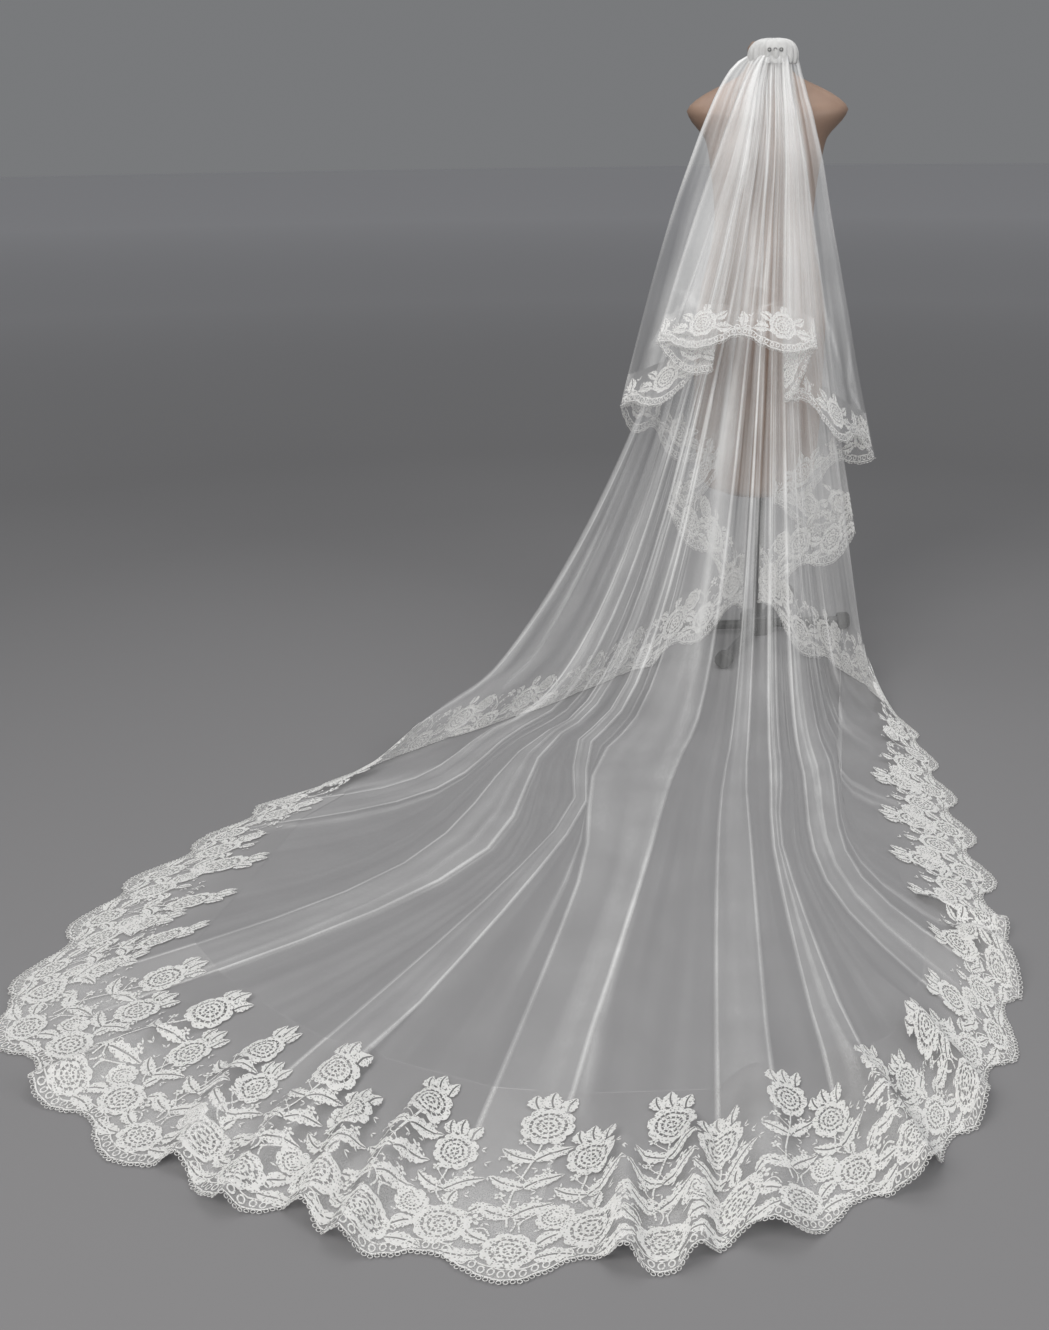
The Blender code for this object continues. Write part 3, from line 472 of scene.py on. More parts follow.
# Soft troughs and ridges that run down the cloth, drawn out wider towards the hem.
def swollen(grid, along, down, kinds):
    normals = sheetNormals(grid)
    height = grid[..., 2]
    free = np.clip((1.30 - height) / 0.5, 0.0, 1.0)
    laid = np.clip((0.10 - height) / 0.08, 0.0, 1.0)
    alongCloth = along[None, :]
    waves = (np.sin(alongCloth * 31.0 + 1.3 * np.sin(down * 2.1)) * 0.5
             + np.sin(alongCloth * 67.0 + 0.7 + 1.9 * np.sin(down * 1.3 + 0.5)) * 0.3
             + np.sin(alongCloth * 13.0 + 2.1 + 0.8 * down) * 0.6)
    wide = np.array([any(start <= index < stop for start, stop in wideSpans)
                     for index in range(len(kinds))])
    size = np.where(wide[None, :], veilLook["hungSwell"] * free, veilLook["nearSwell"] * free)
    size = size * (1.0 - laid) + veilLook["laidSwell"] * laid
    crisp = np.array([kind != "plain" for kind in kinds])
    size = np.where(crisp[None, :], size * 0.3, size)
    rise = waves * size + veilLook["foldLineRise"] * laid * foldLines(*height.shape)
    return grid + normals * rise[..., None]


# Fine folds that slant across the cloth and fade at both ends, each a soft line on the grid.
def foldLines(rowsHere, across):
    marks = np.zeros((rowsHere, across))
    rowShare = np.linspace(0.0, 1.0, rowsHere)[:, None]
    places = np.arange(across)[None, :]
    for index in range(veilLook["foldLines"]):
        middle = across * ((index * 0.6180 + 0.03) % 1.0)
        drift = 26.0 * ((index * 0.7548) % 1.0 - 0.5)
        start = 0.12 + 0.45 * ((index * 0.5698) % 1.0)
        length = 0.25 + 0.30 * ((index * 0.3247) % 1.0)
        gap = np.abs(places - middle - drift * (rowShare - start) / length)
        gap = np.minimum(gap, across - gap)
        window = np.clip(np.minimum(rowShare - start, start + length - rowShare) / 0.08, 0.0, 1.0)
        marks = np.maximum(marks, np.exp(-(gap / 0.9) ** 2) * window)
    return marks


def coverOf(grid, kinds):
    height = grid[..., 2]
    laid = np.clip((0.12 - height) / 0.10, 0.0, 1.0)
    cover = veilLook["hungCover"] + (veilLook["laidCover"] - veilLook["hungCover"]) * laid
    cover = cover + veilLook["combCover"] * np.exp(-np.clip(headingZ - height, 0.0, 2.0) / 0.07)
    own = {"plain": 0.0, "band": veilLook["bandCover"], "edge": veilLook["edgeCover"],
           "near": 0.08, "turn": veilLook["turnCover"]}
    cover = cover + np.array([own[kind] for kind in kinds])[None, :]
    return np.clip(cover + veilLook["foldLineCover"] * foldLines(*height.shape), 0.0, 0.95)


def sheetObject(name, grid, uv, cover, material):
    rowsHere, across = grid.shape[:2]
    mesh = bpy.data.meshes.new(name)
    index = np.arange(rowsHere * across).reshape(rowsHere, across)
    faces = np.stack((index[:-1, :-1], index[1:, :-1], index[1:, 1:], index[:-1, 1:]), axis=-1)
    mesh.from_pydata(grid.reshape(-1, 3).tolist(), [], faces.reshape(-1, 4).tolist())
    layer = mesh.uv_layers.new(name="cloth")
    corner = np.array([loop.vertex_index for loop in mesh.loops])
    layer.data.foreach_set("uv", uv.reshape(-1, 2)[corner].astype(np.float32).ravel())
    gather = 0.34 + 0.66 * np.clip((grid[..., 2] - 0.10) / 0.5, 0.0, 1.0)
    for label, values in (("cover", cover), ("gather", gather)):
        attribute = mesh.attributes.new(label, "FLOAT", "POINT")
        attribute.data.foreach_set("value", values.astype(np.float32).ravel())
    mesh.polygons.foreach_set("use_smooth", [True] * len(mesh.polygons))
    mesh.materials.append(material)
    return linked(name, mesh)


def meshObject(name, vertices, faces, material):
    mesh = bpy.data.meshes.new(name)
    mesh.from_pydata([tuple(map(float, point)) for point in vertices], [], faces)
    mesh.polygons.foreach_set("use_smooth", [True] * len(mesh.polygons))
    mesh.materials.append(material)
    return linked(name, mesh)


# A new material, its node tree and its shader.
def startMaterial(name):
    material = bpy.data.materials.new(name)
    material.use_nodes = True
    tree = material.node_tree
    return material, tree, tree.nodes["Principled BSDF"]


def node(tree, kind, **values):
    made = tree.nodes.new(kind)
    for key, value in values.items():
        if key in made.inputs:
            made.inputs[key].default_value = value
        else:
            setattr(made, key, value)
    return made


def mapRange(tree, source, low, high, fromLow=0.0, fromHigh=1.0):
    ends = {"From Min": fromLow, "From Max": fromHigh, "To Min": low, "To Max": high}
    made = node(tree, "ShaderNodeMapRange", **ends)
    tree.links.new(source, made.inputs["Value"])
    return made.outputs["Result"]


def multiply(tree, first, second):
    made = node(tree, "ShaderNodeMath", operation="MULTIPLY", use_clamp=True)
    tree.links.new(first, made.inputs[0])
    tree.links.new(second, made.inputs[1])
    return made.outputs[0]


# Paints the shader in two colours, shared out by a noise that is handed back.
def twoColours(tree, shader, place, colour, other, most, spread, **noise):
    clouds = node(tree, "ShaderNodeTexNoise", **noise)
    tree.links.new(place.outputs["Object"], clouds.inputs["Vector"])
    tint = node(tree, "ShaderNodeMixRGB", Color1=(*colour, 1.0), Color2=(*other, 1.0))
    share = mapRange(tree, clouds.outputs["Fac"], 0.0, most, *spread)
    tree.links.new(share, tint.inputs["Fac"])
    tree.links.new(tint.outputs["Color"], shader.inputs["Base Color"])
    return clouds


def addRelief(tree, shader, height, bump, distance):
    relief = node(tree, "ShaderNodeBump", Strength=bump, Distance=distance)
    tree.links.new(height, relief.inputs["Height"])
    tree.links.new(relief.outputs["Normal"], shader.inputs["Normal"])


# Sheer cloth: a net whose cover comes from the mesh, gathered in streaks that run down it.
def tulleMaterial(name, colour, net, streak, strength):
    material, tree, shader = startMaterial(name)
    uv = node(tree, "ShaderNodeUVMap", uv_map="cloth")
    stretch = node(tree, "ShaderNodeMapping")
    stretch.inputs["Scale"].default_value = (streak, 0.9, 1.0)
    tree.links.new(uv.outputs["UV"], stretch.inputs["Vector"])
    streaks = node(tree, "ShaderNodeTexNoise", Scale=1.0, Detail=1.6, Roughness=0.5)
    tree.links.new(stretch.outputs["Vector"], streaks.inputs["Vector"])
    clouds = node(tree, "ShaderNodeTexNoise", Scale=7.0, Detail=2.0)
    tree.links.new(uv.outputs["UV"], clouds.inputs["Vector"])
    weave = node(tree, "ShaderNodeTexVoronoi", feature="DISTANCE_TO_EDGE", Scale=net)
    tree.links.new(uv.outputs["UV"], weave.inputs["Vector"])
    cover = node(tree, "ShaderNodeAttribute", attribute_name="cover")
    gather = node(tree, "ShaderNodeAttribute", attribute_name="gather")
    swing = mapRange(tree, streaks.outputs["Fac"], -strength, 1.6 * strength, 0.38, 0.68)
    uneven = node(tree, "ShaderNodeMath", operation="MULTIPLY_ADD")
    tree.links.new(swing, uneven.inputs[0])
    tree.links.new(gather.outputs["Fac"], uneven.inputs[1])
    uneven.inputs[2].default_value = 1.0
    alpha = multiply(tree, cover.outputs["Fac"], uneven.outputs[0])
    soft = mapRange(tree, clouds.outputs["Fac"], 0.8, 1.2, 0.3, 0.7)
    holes = mapRange(tree, weave.outputs["Distance"], 1.35, 0.75, 0.0, 0.25)
    alpha = multiply(tree, multiply(tree, alpha, soft), holes)
    tree.links.new(alpha, shader.inputs["Alpha"])
    tint = node(tree, "ShaderNodeMixRGB", Color1=(*colour, 1.0), Color2=(0.80, 0.81, 0.82, 1.0))
    tree.links.new(mapRange(tree, clouds.outputs["Fac"], 0.0, 0.35), tint.inputs["Fac"])
    tree.links.new(tint.outputs["Color"], shader.inputs["Base Color"])
    shader.inputs["Roughness"].default_value = 0.62
    shader.inputs["Specular IOR Level"].default_value = 0.25
    shader.inputs["Sheen Weight"].default_value = 0.25
    shader.inputs["Sheen Roughness"].default_value = 0.45
    return material


# Thread work: fine stitches, a little uneven in colour, with small holes where it is open.
def threadMaterial(name, colour, stitch, bump, openness=0.0):
    material, tree, shader = startMaterial(name)
    place = node(tree, "ShaderNodeTexCoord")
    stitches = node(tree, "ShaderNodeTexWave", Scale=stitch, Distortion=6.0, Detail=2.0)
    tree.links.new(place.outputs["Object"], stitches.inputs["Vector"])
    shade = tuple(part * 0.93 for part in colour)
    twoColours(tree, shader, place, colour, shade, 0.7, (0.3, 0.8), Scale=38.0, Detail=3.0)
    rough = mapRange(tree, stitches.outputs["Fac"], 0.55, 0.8)
    tree.links.new(rough, shader.inputs["Roughness"])
    addRelief(tree, shader, stitches.outputs["Fac"], bump, 0.0008)
    shader.inputs["Sheen Weight"].default_value = 0.2
    if openness > 0.0:
        holes = node(tree, "ShaderNodeTexVoronoi", feature="F1", Scale=250.0)
        tree.links.new(place.outputs["Object"], holes.inputs["Vector"])
        solid = mapRange(tree, holes.outputs["Distance"], 1.0 - openness, 1.0, 0.22, 0.38)
        tree.links.new(solid, shader.inputs["Alpha"])
    return material


# Plain moulded or painted surfaces: two near colours, grain and a fine bump.
def hardMaterial(name, colour, other, roughness, grain, bump, metallic=0.0):
    material, tree, shader = startMaterial(name)
    place = node(tree, "ShaderNodeTexCoord")
    clouds = twoColours(tree, shader, place, colour, other, 1.0, (0.35, 0.65),
                        Scale=grain, Detail=5.0, Roughness=0.6)
    rough = mapRange(tree, clouds.outputs["Fac"], roughness - 0.06, roughness + 0.06)
    tree.links.new(rough, shader.inputs["Roughness"])
    addRelief(tree, shader, clouds.outputs["Fac"], bump, 0.001)
    shader.inputs["Metallic"].default_value = metallic
    return material


tulleCloth = tulleMaterial("tulle_cloth", (0.87, 0.87, 0.865), net=650.0, streak=17.0, strength=0.70)
netCloth = tulleMaterial("net_cloth", (0.92, 0.915, 0.905), net=420.0, streak=20.0, strength=0.15)
laceThread = threadMaterial("lace_thread", (0.94, 0.935, 0.92), stitch=420.0, bump=0.8, openness=0.62)
# Painted shade: the heading's white tulle is coloured mid-grey, far darker than the veil's, so that it
# renders dim under the lamps
shadedPuffCloth = threadMaterial("puff_cloth_painted_shade", (0.56, 0.56, 0.555), stitch=160.0, bump=0.5)
formSkinMaterial = hardMaterial("form_skin_look", (0.285, 0.190, 0.140), (0.255, 0.168, 0.124),
                                roughness=0.5, grain=24.0, bump=0.06)
metalMaterial = hardMaterial("black_metal_look", (0.022, 0.022, 0.023), (0.035, 0.035, 0.036),
                             roughness=0.38, grain=90.0, bump=0.10, metallic=0.4)
rubberMaterial = hardMaterial("black_rubber_look", (0.016, 0.016, 0.017), (0.028, 0.028, 0.028),
                              roughness=0.72, grain=240.0, bump=0.2)
combMaterial = hardMaterial("comb_look", (0.62, 0.62, 0.60), (0.70, 0.70, 0.68),
                            roughness=0.22, grain=60.0, bump=0.05)
loopMaterial = hardMaterial("loop_look", (0.030, 0.030, 0.032), (0.06, 0.06, 0.06),
                            roughness=0.45, grain=200.0, bump=0.1)
print("materials made")

grid, kinds, names, middles = veilColumns()
count = grid.shape[1]
grid = softened(grid, kinds)
hemSteps = np.linalg.norm(np.roll(grid[-1], -1, axis=0) - grid[-1], axis=1)
along = np.concatenate(((0.0,), np.cumsum(hemSteps)[:-1]))
hemLength = float(hemSteps.sum())
repeatCount = round(hemLength / laceRepeat)
repeatLength = hemLength / repeatCount
downSteps = np.linalg.norm(np.diff(grid, axis=0), axis=2)
down = np.concatenate((np.zeros((1, count)), np.cumsum(downSteps, axis=0)))


# The columns of a panel, from half way before its first ray to half way past its last.
def panelRange(panel):
    first = names.index(panel.first)
    start = middles[names[first - 1]]
    stop = middles[panel.last]
    if stop <= start:
        stop += count
    return start, stop


trainPanels = [panel for panel in panels
               if panel.tulle in ("long_tier_left", "long_tier_centre", "long_tier_right")]
wideSpans = [panelRange(panel) for panel in trainPanels]
grid = swollen(grid, along, down, kinds)
grid = settle(grid.reshape(-1, 3)).reshape(grid.shape)
cover = coverOf(grid, kinds)
laceDepth = down[-1] - down[wRow * split]
print("veil grid", grid.shape, "hem", round(hemLength, 3), "repeats", repeatCount)

hemOut = unit(grid[-1] - grid[-3])
gridNormals = sheetNormals(np.concatenate((grid[:, -2:], grid, grid[:, :2]), axis=1))[:, 2:-2]
rowShares = (0.0, *laceRows)
shareRows = [(wRow + index) * split for index in range(len(rowShares))]


# A point of the border: x along the hem, y in from the hem line, lift off the cloth.
def borderPoints(x, y, lift):
    x = np.mod(x, hemLength)
    left = np.clip(np.searchsorted(along, x, side="right") - 1, 0, count - 1)
    right = (left + 1) % count
    share = ((x - along[left]) / np.maximum(hemSteps[left], 1e-6))[:, None]
    depth = laceDepth[left] * (1 - share[:, 0]) + laceDepth[right] * share[:, 0]
    row = np.interp(1.0 - np.maximum(y, 0.0) / depth, rowShares, shareRows)
    low = np.minimum(row.astype(int), hemRow * split - 1)
    part = (row - low)[:, None]

    def blended(field):
        top = field[low, left] * (1 - share) + field[low, right] * share
        bottom = field[low + 1, left] * (1 - share) + field[low + 1, right] * share
        return top * (1 - part) + bottom * part

    out = unit(hemOut[left] * (1 - share) + hemOut[right] * share)
    placed = blended(grid) + out * np.maximum(-y, 0.0)[:, None]
    placed += unit(blended(gridNormals)) * lift[:, None]
    placed[:, 2] = np.maximum(placed[:, 2], veilLook["threadFloor"] + 0.5 * np.abs(lift))
    return placed


def hemReach(x):
    return fromTable(scallop, (x / repeatLength) % 1.0)


# The lace's drawing, flat: points (x, y, lift) and faces, gathered for one panel.
class Drawing:
    def __init__(self):
        self.points, self.faces = [], []

    def add(self, points, faces):
        start = len(self.points)
        self.points += points
        self.faces += [tuple(start + index for index in face) for face in faces]


laceLook = {
    "lift": 0.0007,       # how far the thread work stands off the net
    "dome": 0.0011,       # added at the middle of each petal
    "roseRings": ((0.66, 1.00, 8, 56), (0.42, 0.60, 6, 36), (0.20, 0.35, 5, 25)),
    "roseBars": ((0.58, 0.67, 18), (0.33, 0.43, 12), (0.10, 0.21, 6)),
    "cordWidth": 0.0024,
    "eyeletSpacing": 0.0128,
    "picotSpacing": 0.0085,
    "picotRadius": 0.0032,
    "picotThread": 0.0007,
}


def addFan(drawing, centre, outline, dome):
    points = [(centre[0], centre[1], laceLook["lift"] + dome)]
    points += [(x, y, laceLook["lift"]) for x, y in outline]
    around = len(outline)
    drawing.add(points, [(0, 1 + n, 1 + (n + 1) % around) for n in range(around)])


# A ring of thread work whose outer edge runs in lobes.
def addBand(drawing, x, y, inner, outer, lobes, turn, tall, sides=45):
    points, faces = [], []
    for step in range(sides):
        angle = 2 * math.pi * step / sides
        lobe = abs(math.sin(lobes * (angle + turn) / 2))
        point = abs(math.sin(2.5 * lobes * (angle + turn)))
        edge = outer * (0.80 + 0.15 * lobe ** 0.6 + 0.05 * point)
        for reach, lift in ((inner, 0.0), ((inner + edge) / 2, 1.0), (edge, 0.0)):
            points.append((x + reach * math.cos(angle), y + tall * reach * math.sin(angle),
                           laceLook["lift"] + lift * laceLook["dome"]))
    for step in range(sides):
        low, high = 3 * step, 3 * ((step + 1) % sides)
        for part in (0, 1):
            faces.append((low + part, low + part + 1, high + part + 1, high + part))
    drawing.add(points, faces)


def addBars(drawing, x, y, inner, outer, bars, turn, tall):
    for bar in range(bars):
        angle = turn + 2 * math.pi * bar / bars
        addCord(drawing, [(x + reach * math.cos(angle), y + tall * reach * math.sin(angle))
                          for reach in (inner, outer)], 0.22 * outer * 2 * math.pi / bars + 0.0006)


# A rose of three lobed rings held together by short bars.
def addRose(drawing, x, y, radius, turn=0.0, tall=1.0):
    for inner, outer, lobes, sides in laceLook["roseRings"]:
        addBand(drawing, x, y, inner * radius, outer * radius, lobes, turn + inner, tall, sides)
    for inner, outer, bars in laceLook["roseBars"]:
        addBars(drawing, x, y, inner * radius, outer * radius, bars, turn, tall)
    outline = [(x + 0.12 * radius * math.cos(n), y + 0.12 * radius * math.sin(n)) for n in range(6)]
    addFan(drawing, (x, y), outline, laceLook["dome"])


def addFloret(drawing, x, y, radius, petals=5, turn=0.3):
    for petal in range(petals):
        angle = turn + 2 * math.pi * petal / petals
        outline = []
        for step in range(7):
            bend = 2 * math.pi * step / 7
            reach = 0.58 * radius + 0.42 * radius * math.cos(bend)
            aside = 0.30 * radius * math.sin(bend)
            outline.append((x + reach * math.cos(angle) - aside * math.sin(angle),
                            y + reach * math.sin(angle) + aside * math.cos(angle)))
        centre = (x + 0.58 * radius * math.cos(angle), y + 0.58 * radius * math.sin(angle))
        addFan(drawing, centre, outline, 0.5 * laceLook["dome"])


# A serrated leaf in two halves, with the slit of its vein between them.
def addLeaf(drawing, x0, y0, x1, y1, half, teeth=5):
    length = math.hypot(x1 - x0, y1 - y0)
    ux, uy = (x1 - x0) / length, (y1 - y0) / length
    for side in (-1.0, 1.0):
        points, faces = [], []
        steps = 2 * teeth
        for step in range(steps + 1):
            share = step / steps
            body = 0.0
            if share < 1.0:
                body = math.sin(math.pi * min(1.0, share * 0.97 + 0.03) ** 0.8) ** 0.8
            wide = half * body * (1.0 if step % 2 else 0.78)
            slit = min(0.0014, 0.4 * wide)
            bow = 0.10 * length * math.sin(math.pi * share)
            for aside, lift in ((slit, 0.3), (0.55 * wide, 1.0), (wide, 0.0)):
                away = side * aside
                points.append((x0 + ux * length * share - uy * (away + bow),
                               y0 + uy * length * share + ux * (away + bow),
                               laceLook["lift"] + laceLook["dome"] * lift * body))
        for step in range(steps):
            for part in (0, 1):
                low, high = 3 * step + part, 3 * (step + 1) + part
                face = (low, high, high + 1, low + 1)
                faces.append(face if side < 0 else face[::-1])
        drawing.add(points, faces)


def addRing(drawing, x, y, radiusX, radiusY, turn, band, sides=10):
    points, faces = [], []
    for step in range(sides):
        angle = 2 * math.pi * step / sides
        for size in (1.0, 1.0 - band):
            a, b = radiusX * size * math.cos(angle), radiusY * size * math.sin(angle)
            points.append((x + a * math.cos(turn) - b * math.sin(turn),
                           y + a * math.sin(turn) + b * math.cos(turn), laceLook["lift"]))
    for step in range(sides):
        after = (step + 1) % sides
        faces.append((2 * step, 2 * after, 2 * after + 1, 2 * step + 1))
    drawing.add(points, faces)


def addCord(drawing, path, width):
    points, faces = [], []
    for index, (x, y) in enumerate(path):
        ahead = path[min(index + 1, len(path) - 1)]
        behind = path[max(index - 1, 0)]
        dx, dy = ahead[0] - behind[0], ahead[1] - behind[1]
        length = math.hypot(dx, dy) or 1.0
        nx, ny = -dy / length * width / 2, dx / length * width / 2
        points += [(x - nx, y - ny, laceLook["lift"]), (x, y, laceLook["lift"] + 0.5 * laceLook["dome"]),
                   (x + nx, y + ny, laceLook["lift"])]
    for index in range(len(path) - 1):
        for part in (0, 1):
            low = 3 * index + part
            faces.append((low, low + 3, low + 4, low + 1))
    drawing.add(points, faces)


# A short curl between two places, for vines and stems.
def curl(x0, y0, x1, y1, bow, steps=9):
    length = math.hypot(x1 - x0, y1 - y0)
    nx, ny = -(y1 - y0) / length, (x1 - x0) / length
    path = []
    for step in range(steps + 1):
        share = step / steps
        out = bow * math.sin(math.pi * share) + 0.35 * bow * math.sin(2 * math.pi * share)
        path.append((x0 + (x1 - x0) * share + nx * out, y0 + (y1 - y0) * share + ny * out))
    return path


# A rose on its stem with leaves above it and on both sides; sizes go by the rose's radius.
def addSpray(drawing, x, base, top, lean, size):
    headX, headY = x + lean, top - 1.9 * size
    addCord(drawing, curl(x, base, headX, headY - size, 0.010), 0.0030)
    addRose(drawing, headX, headY, size, 0.7, 1.12)
    for side in (-1, 1):
        addLeaf(drawing, headX + side * 0.5 * size, headY + 0.9 * size, headX + side * 0.72 * size,
                headY + 1.75 * size, 0.36 * size, 4)
    addLeaf(drawing, headX, headY + 1.02 * size, headX - 0.12 * size, top + 0.1 * size, 0.42 * size, 5)
    levels = max(1, round((headY - size - base) / 0.066))
    for level in range(levels):
        share = (level + 0.35) / levels
        fromX, fromY = x + lean * share, base + (headY - size - base) * share
        for side in (-1, 1):
            tipY = fromY + 0.026 + 0.006 * side
            addLeaf(drawing, fromX, fromY, fromX + side * 0.050, tipY, 0.0145, 6)
            tendril = curl(fromX, fromY, fromX + side * 0.020, fromY + 0.034, side * 0.006, 6)
            addCord(drawing, tendril, 0.0018)
            addFloret(drawing, fromX + side * 0.024, fromY + 0.040, 0.0085)


# Tiny sprigs strewn on the net, at places fixed by the golden angle.
def addSprigs(drawing, middle, low, high, number):
    for index in range(number):
        x = middle + repeatLength * ((index * 0.6180 + 0.1) % 1.0 - 0.5)
        y = low + (high - low) * (index + 0.5) / number
        turn = index * 2.4
        for bend in (-0.7, 0.7):
            dx, dy = math.cos(turn + bend), math.sin(turn + bend)
            outline = [(x, y), (x + 0.005 * dx - 0.0018 * dy, y + 0.005 * dy + 0.0018 * dx),
                       (x + 0.010 * dx, y + 0.010 * dy),
                       (x + 0.005 * dx + 0.0018 * dy, y + 0.005 * dy - 0.0018 * dx)]
            addFan(drawing, (x + 0.0045 * dx, y + 0.0045 * dy), outline, 0.3 * laceLook["dome"])


# One repeat of the border. A place is x from the repeat's middle, then y in from the hem line. A
# leaf is its root, its tip, its half width and its teeth, and a vine its two ends, bow and width.
# "side" pieces come twice, mirrored, and "seam" is the line between two repeats.
borderLook = {
    "edge": 0.0018,
    "shortUnder": 0.11,
    "short": {
        "innerCord": 0.015, "eyeletIn": 0.0085, "eyeletTall": 0.0056,
        "sideLeaves": ((0.034, 0.026, 0.072, 0.030, 0.014, 5), (0.030, 0.046, 0.056, 0.066, 0.011, 5)),
        "sideVines": ((0.030, 0.018, repeatLength / 2, 0.030, 0.006, 0.0026),),
    },
    "deep": {
        "innerCord": 0.019, "eyeletIn": 0.0105, "eyeletTall": 0.0074,
        "sideLeaves": ((0.034, 0.014, 0.086, 0.016, 0.015, 6), (0.032, 0.040, 0.066, 0.062, 0.014, 6)),
        "sideVines": ((0.030, 0.050, repeatLength / 2 - 0.03, 0.058, 0.010, 0.0028),
                      (0.006, 0.062, 0.024, 0.110, 0.008, 0.0024)),
    },
    "sprayOver": (0.165, 0.25),   # border depths at which the tall sprays begin
}


def drawRepeat(drawing, middle):
    half = repeatLength / 2
    seam = middle + half
    depth = depthAt(middle)
    short = depth < borderLook["shortUnder"]
    look = borderLook["short" if short else "deep"]
    steps = 26
    path = []
    for step in range(steps + 1):
        x = middle - half + repeatLength * step / steps
        path.append((x, borderLook["edge"] - hemReach(x)))
    addCord(drawing, path, laceLook["cordWidth"])
    addCord(drawing, [(x, y + look["innerCord"]) for x, y in path], 0.0026)
    eyelets = int(repeatLength / laceLook["eyeletSpacing"])
    for number in range(eyelets):
        x = middle - half + repeatLength * (number + 0.5) / eyelets
        y = borderLook["edge"] - hemReach(x) + look["eyeletIn"]
        addRing(drawing, x, y, 0.0052, look["eyeletTall"], 0.0, 0.40)
    if short:
        addRose(drawing, middle, 0.034, 0.035, 0.2)
        addLeaf(drawing, middle, 0.064, middle - 0.003, 0.086, 0.010, 4)
    else:
        addRose(drawing, middle, 0.026, 0.037, 0.1, 0.95)
        addRose(drawing, seam, 0.066, 0.040, 0.5)
        addRose(drawing, middle + 0.046, 0.094, 0.027, 0.9)
    for side in (-1, 1):
        for x0, y0, x1, y1, wide, teeth in look["sideLeaves"]:
            addLeaf(drawing, middle + side * x0, y0, middle + side * x1, y1, wide, teeth)
        for x0, y0, x1, y1, bow, width in look["sideVines"]:
            addCord(drawing, curl(middle + side * x0, y0, middle + side * x1, y1, side * bow), width)
        if short:
            addRing(drawing, middle + side * (half - 0.013), 0.030, 0.0085, 0.0065, 0.5 * side, 0.42, 14)
        else:
            addLeaf(drawing, seam + side * 0.030, 0.094, seam + side * 0.058, 0.112, 0.012, 5)
            addFloret(drawing, middle - 0.040 + side * 0.016, 0.092 + side * 0.012, 0.012)
    if short:
        addLeaf(drawing, seam, 0.034, seam + 0.004, 0.072, 0.0125, 5)
        addSprigs(drawing, middle, 0.018, 0.060, 12)
        return
    addLeaf(drawing, seam, 0.106, seam + 0.004, 0.136, 0.012, 5)
    addSprigs(drawing, middle, 0.024, min(0.150, 0.8 * depth), 26)
    if depth > borderLook["sprayOver"][0]:
        addSpray(drawing, middle - 0.012, 0.070, depth - 0.008, 0.010, 0.041)
    if depth > borderLook["sprayOver"][1]:
        addSpray(drawing, seam - 0.010, 0.110, 0.76 * depth, -0.012, 0.037)
        addSprigs(drawing, middle, 0.150, 0.62 * depth, 24)


def depthAt(x):
    return float(np.interp(x % hemLength, along, laceDepth))


# Small light loops along the scalloped hem, set out by Geometry Nodes.
def picotTree(material):
    tree = bpy.data.node_groups.new("hem_picots", "GeometryNodeTree")
    tree.interface.new_socket("Path", in_out="INPUT", socket_type="NodeSocketGeometry")
    for name, size in (("Spacing", "picotSpacing"), ("Loop radius", "picotRadius"),
                       ("Thread radius", "picotThread")):
        socket = tree.interface.new_socket(name, in_out="INPUT", socket_type="NodeSocketFloat")
        socket.default_value = laceLook[size]
    tree.interface.new_socket("Loops", in_out="OUTPUT", socket_type="NodeSocketGeometry")
    given = node(tree, "NodeGroupInput")
    result = node(tree, "NodeGroupOutput")
    toCurve = node(tree, "GeometryNodeMeshToCurve")
    spaced = node(tree, "GeometryNodeCurveToPoints", mode="LENGTH")
    loop = node(tree, "GeometryNodeCurvePrimitiveCircle", Resolution=8)
    thread = node(tree, "GeometryNodeCurvePrimitiveCircle", Resolution=4)
    swept = node(tree, "GeometryNodeCurveToMesh")
    copies = node(tree, "GeometryNodeInstanceOnPoints")
    turned = node(tree, "FunctionNodeAlignEulerToVector", axis="X")
    real = node(tree, "GeometryNodeRealizeInstances")
    painted = node(tree, "GeometryNodeSetMaterial", Material=material)
    for source, output, target, entry in (
            (given, "Path", toCurve, "Mesh"), (toCurve, "Curve", spaced, "Curve"),
            (given, "Spacing", spaced, "Length"), (given, "Loop radius", loop, "Radius"),
            (given, "Thread radius", thread, "Radius"), (loop, "Curve", swept, "Curve"),
            (thread, "Curve", swept, "Profile Curve"), (spaced, "Points", copies, "Points"),
            (swept, "Mesh", copies, "Instance"), (spaced, "Tangent", turned, "Vector"),
            (turned, "Rotation", copies, "Rotation"), (copies, "Instances", real, "Geometry"),
            (real, "Geometry", painted, "Geometry"), (painted, "Geometry", result, "Loops")):
        tree.links.new(source.outputs[output], target.inputs[entry])
    return tree


# Runs a node tree on a path and keeps only the plain mesh it makes.
def fromNodes(name, path, tree):
    mesh = bpy.data.meshes.new(name + "_path")
    edges = [(n, n + 1) for n in range(len(path) - 1)]
    mesh.from_pydata([tuple(map(float, point)) for point in path], edges, [])
    carrier = linked(name, mesh)
    modifier = carrier.modifiers.new("nodes", "NODES")
    modifier.node_group = tree
    state = bpy.context.evaluated_depsgraph_get()
    made = bpy.data.meshes.new_from_object(carrier.evaluated_get(state))
    carrier.modifiers.remove(modifier)
    carrier.data = made
    return carrier


picots = picotTree(laceThread)


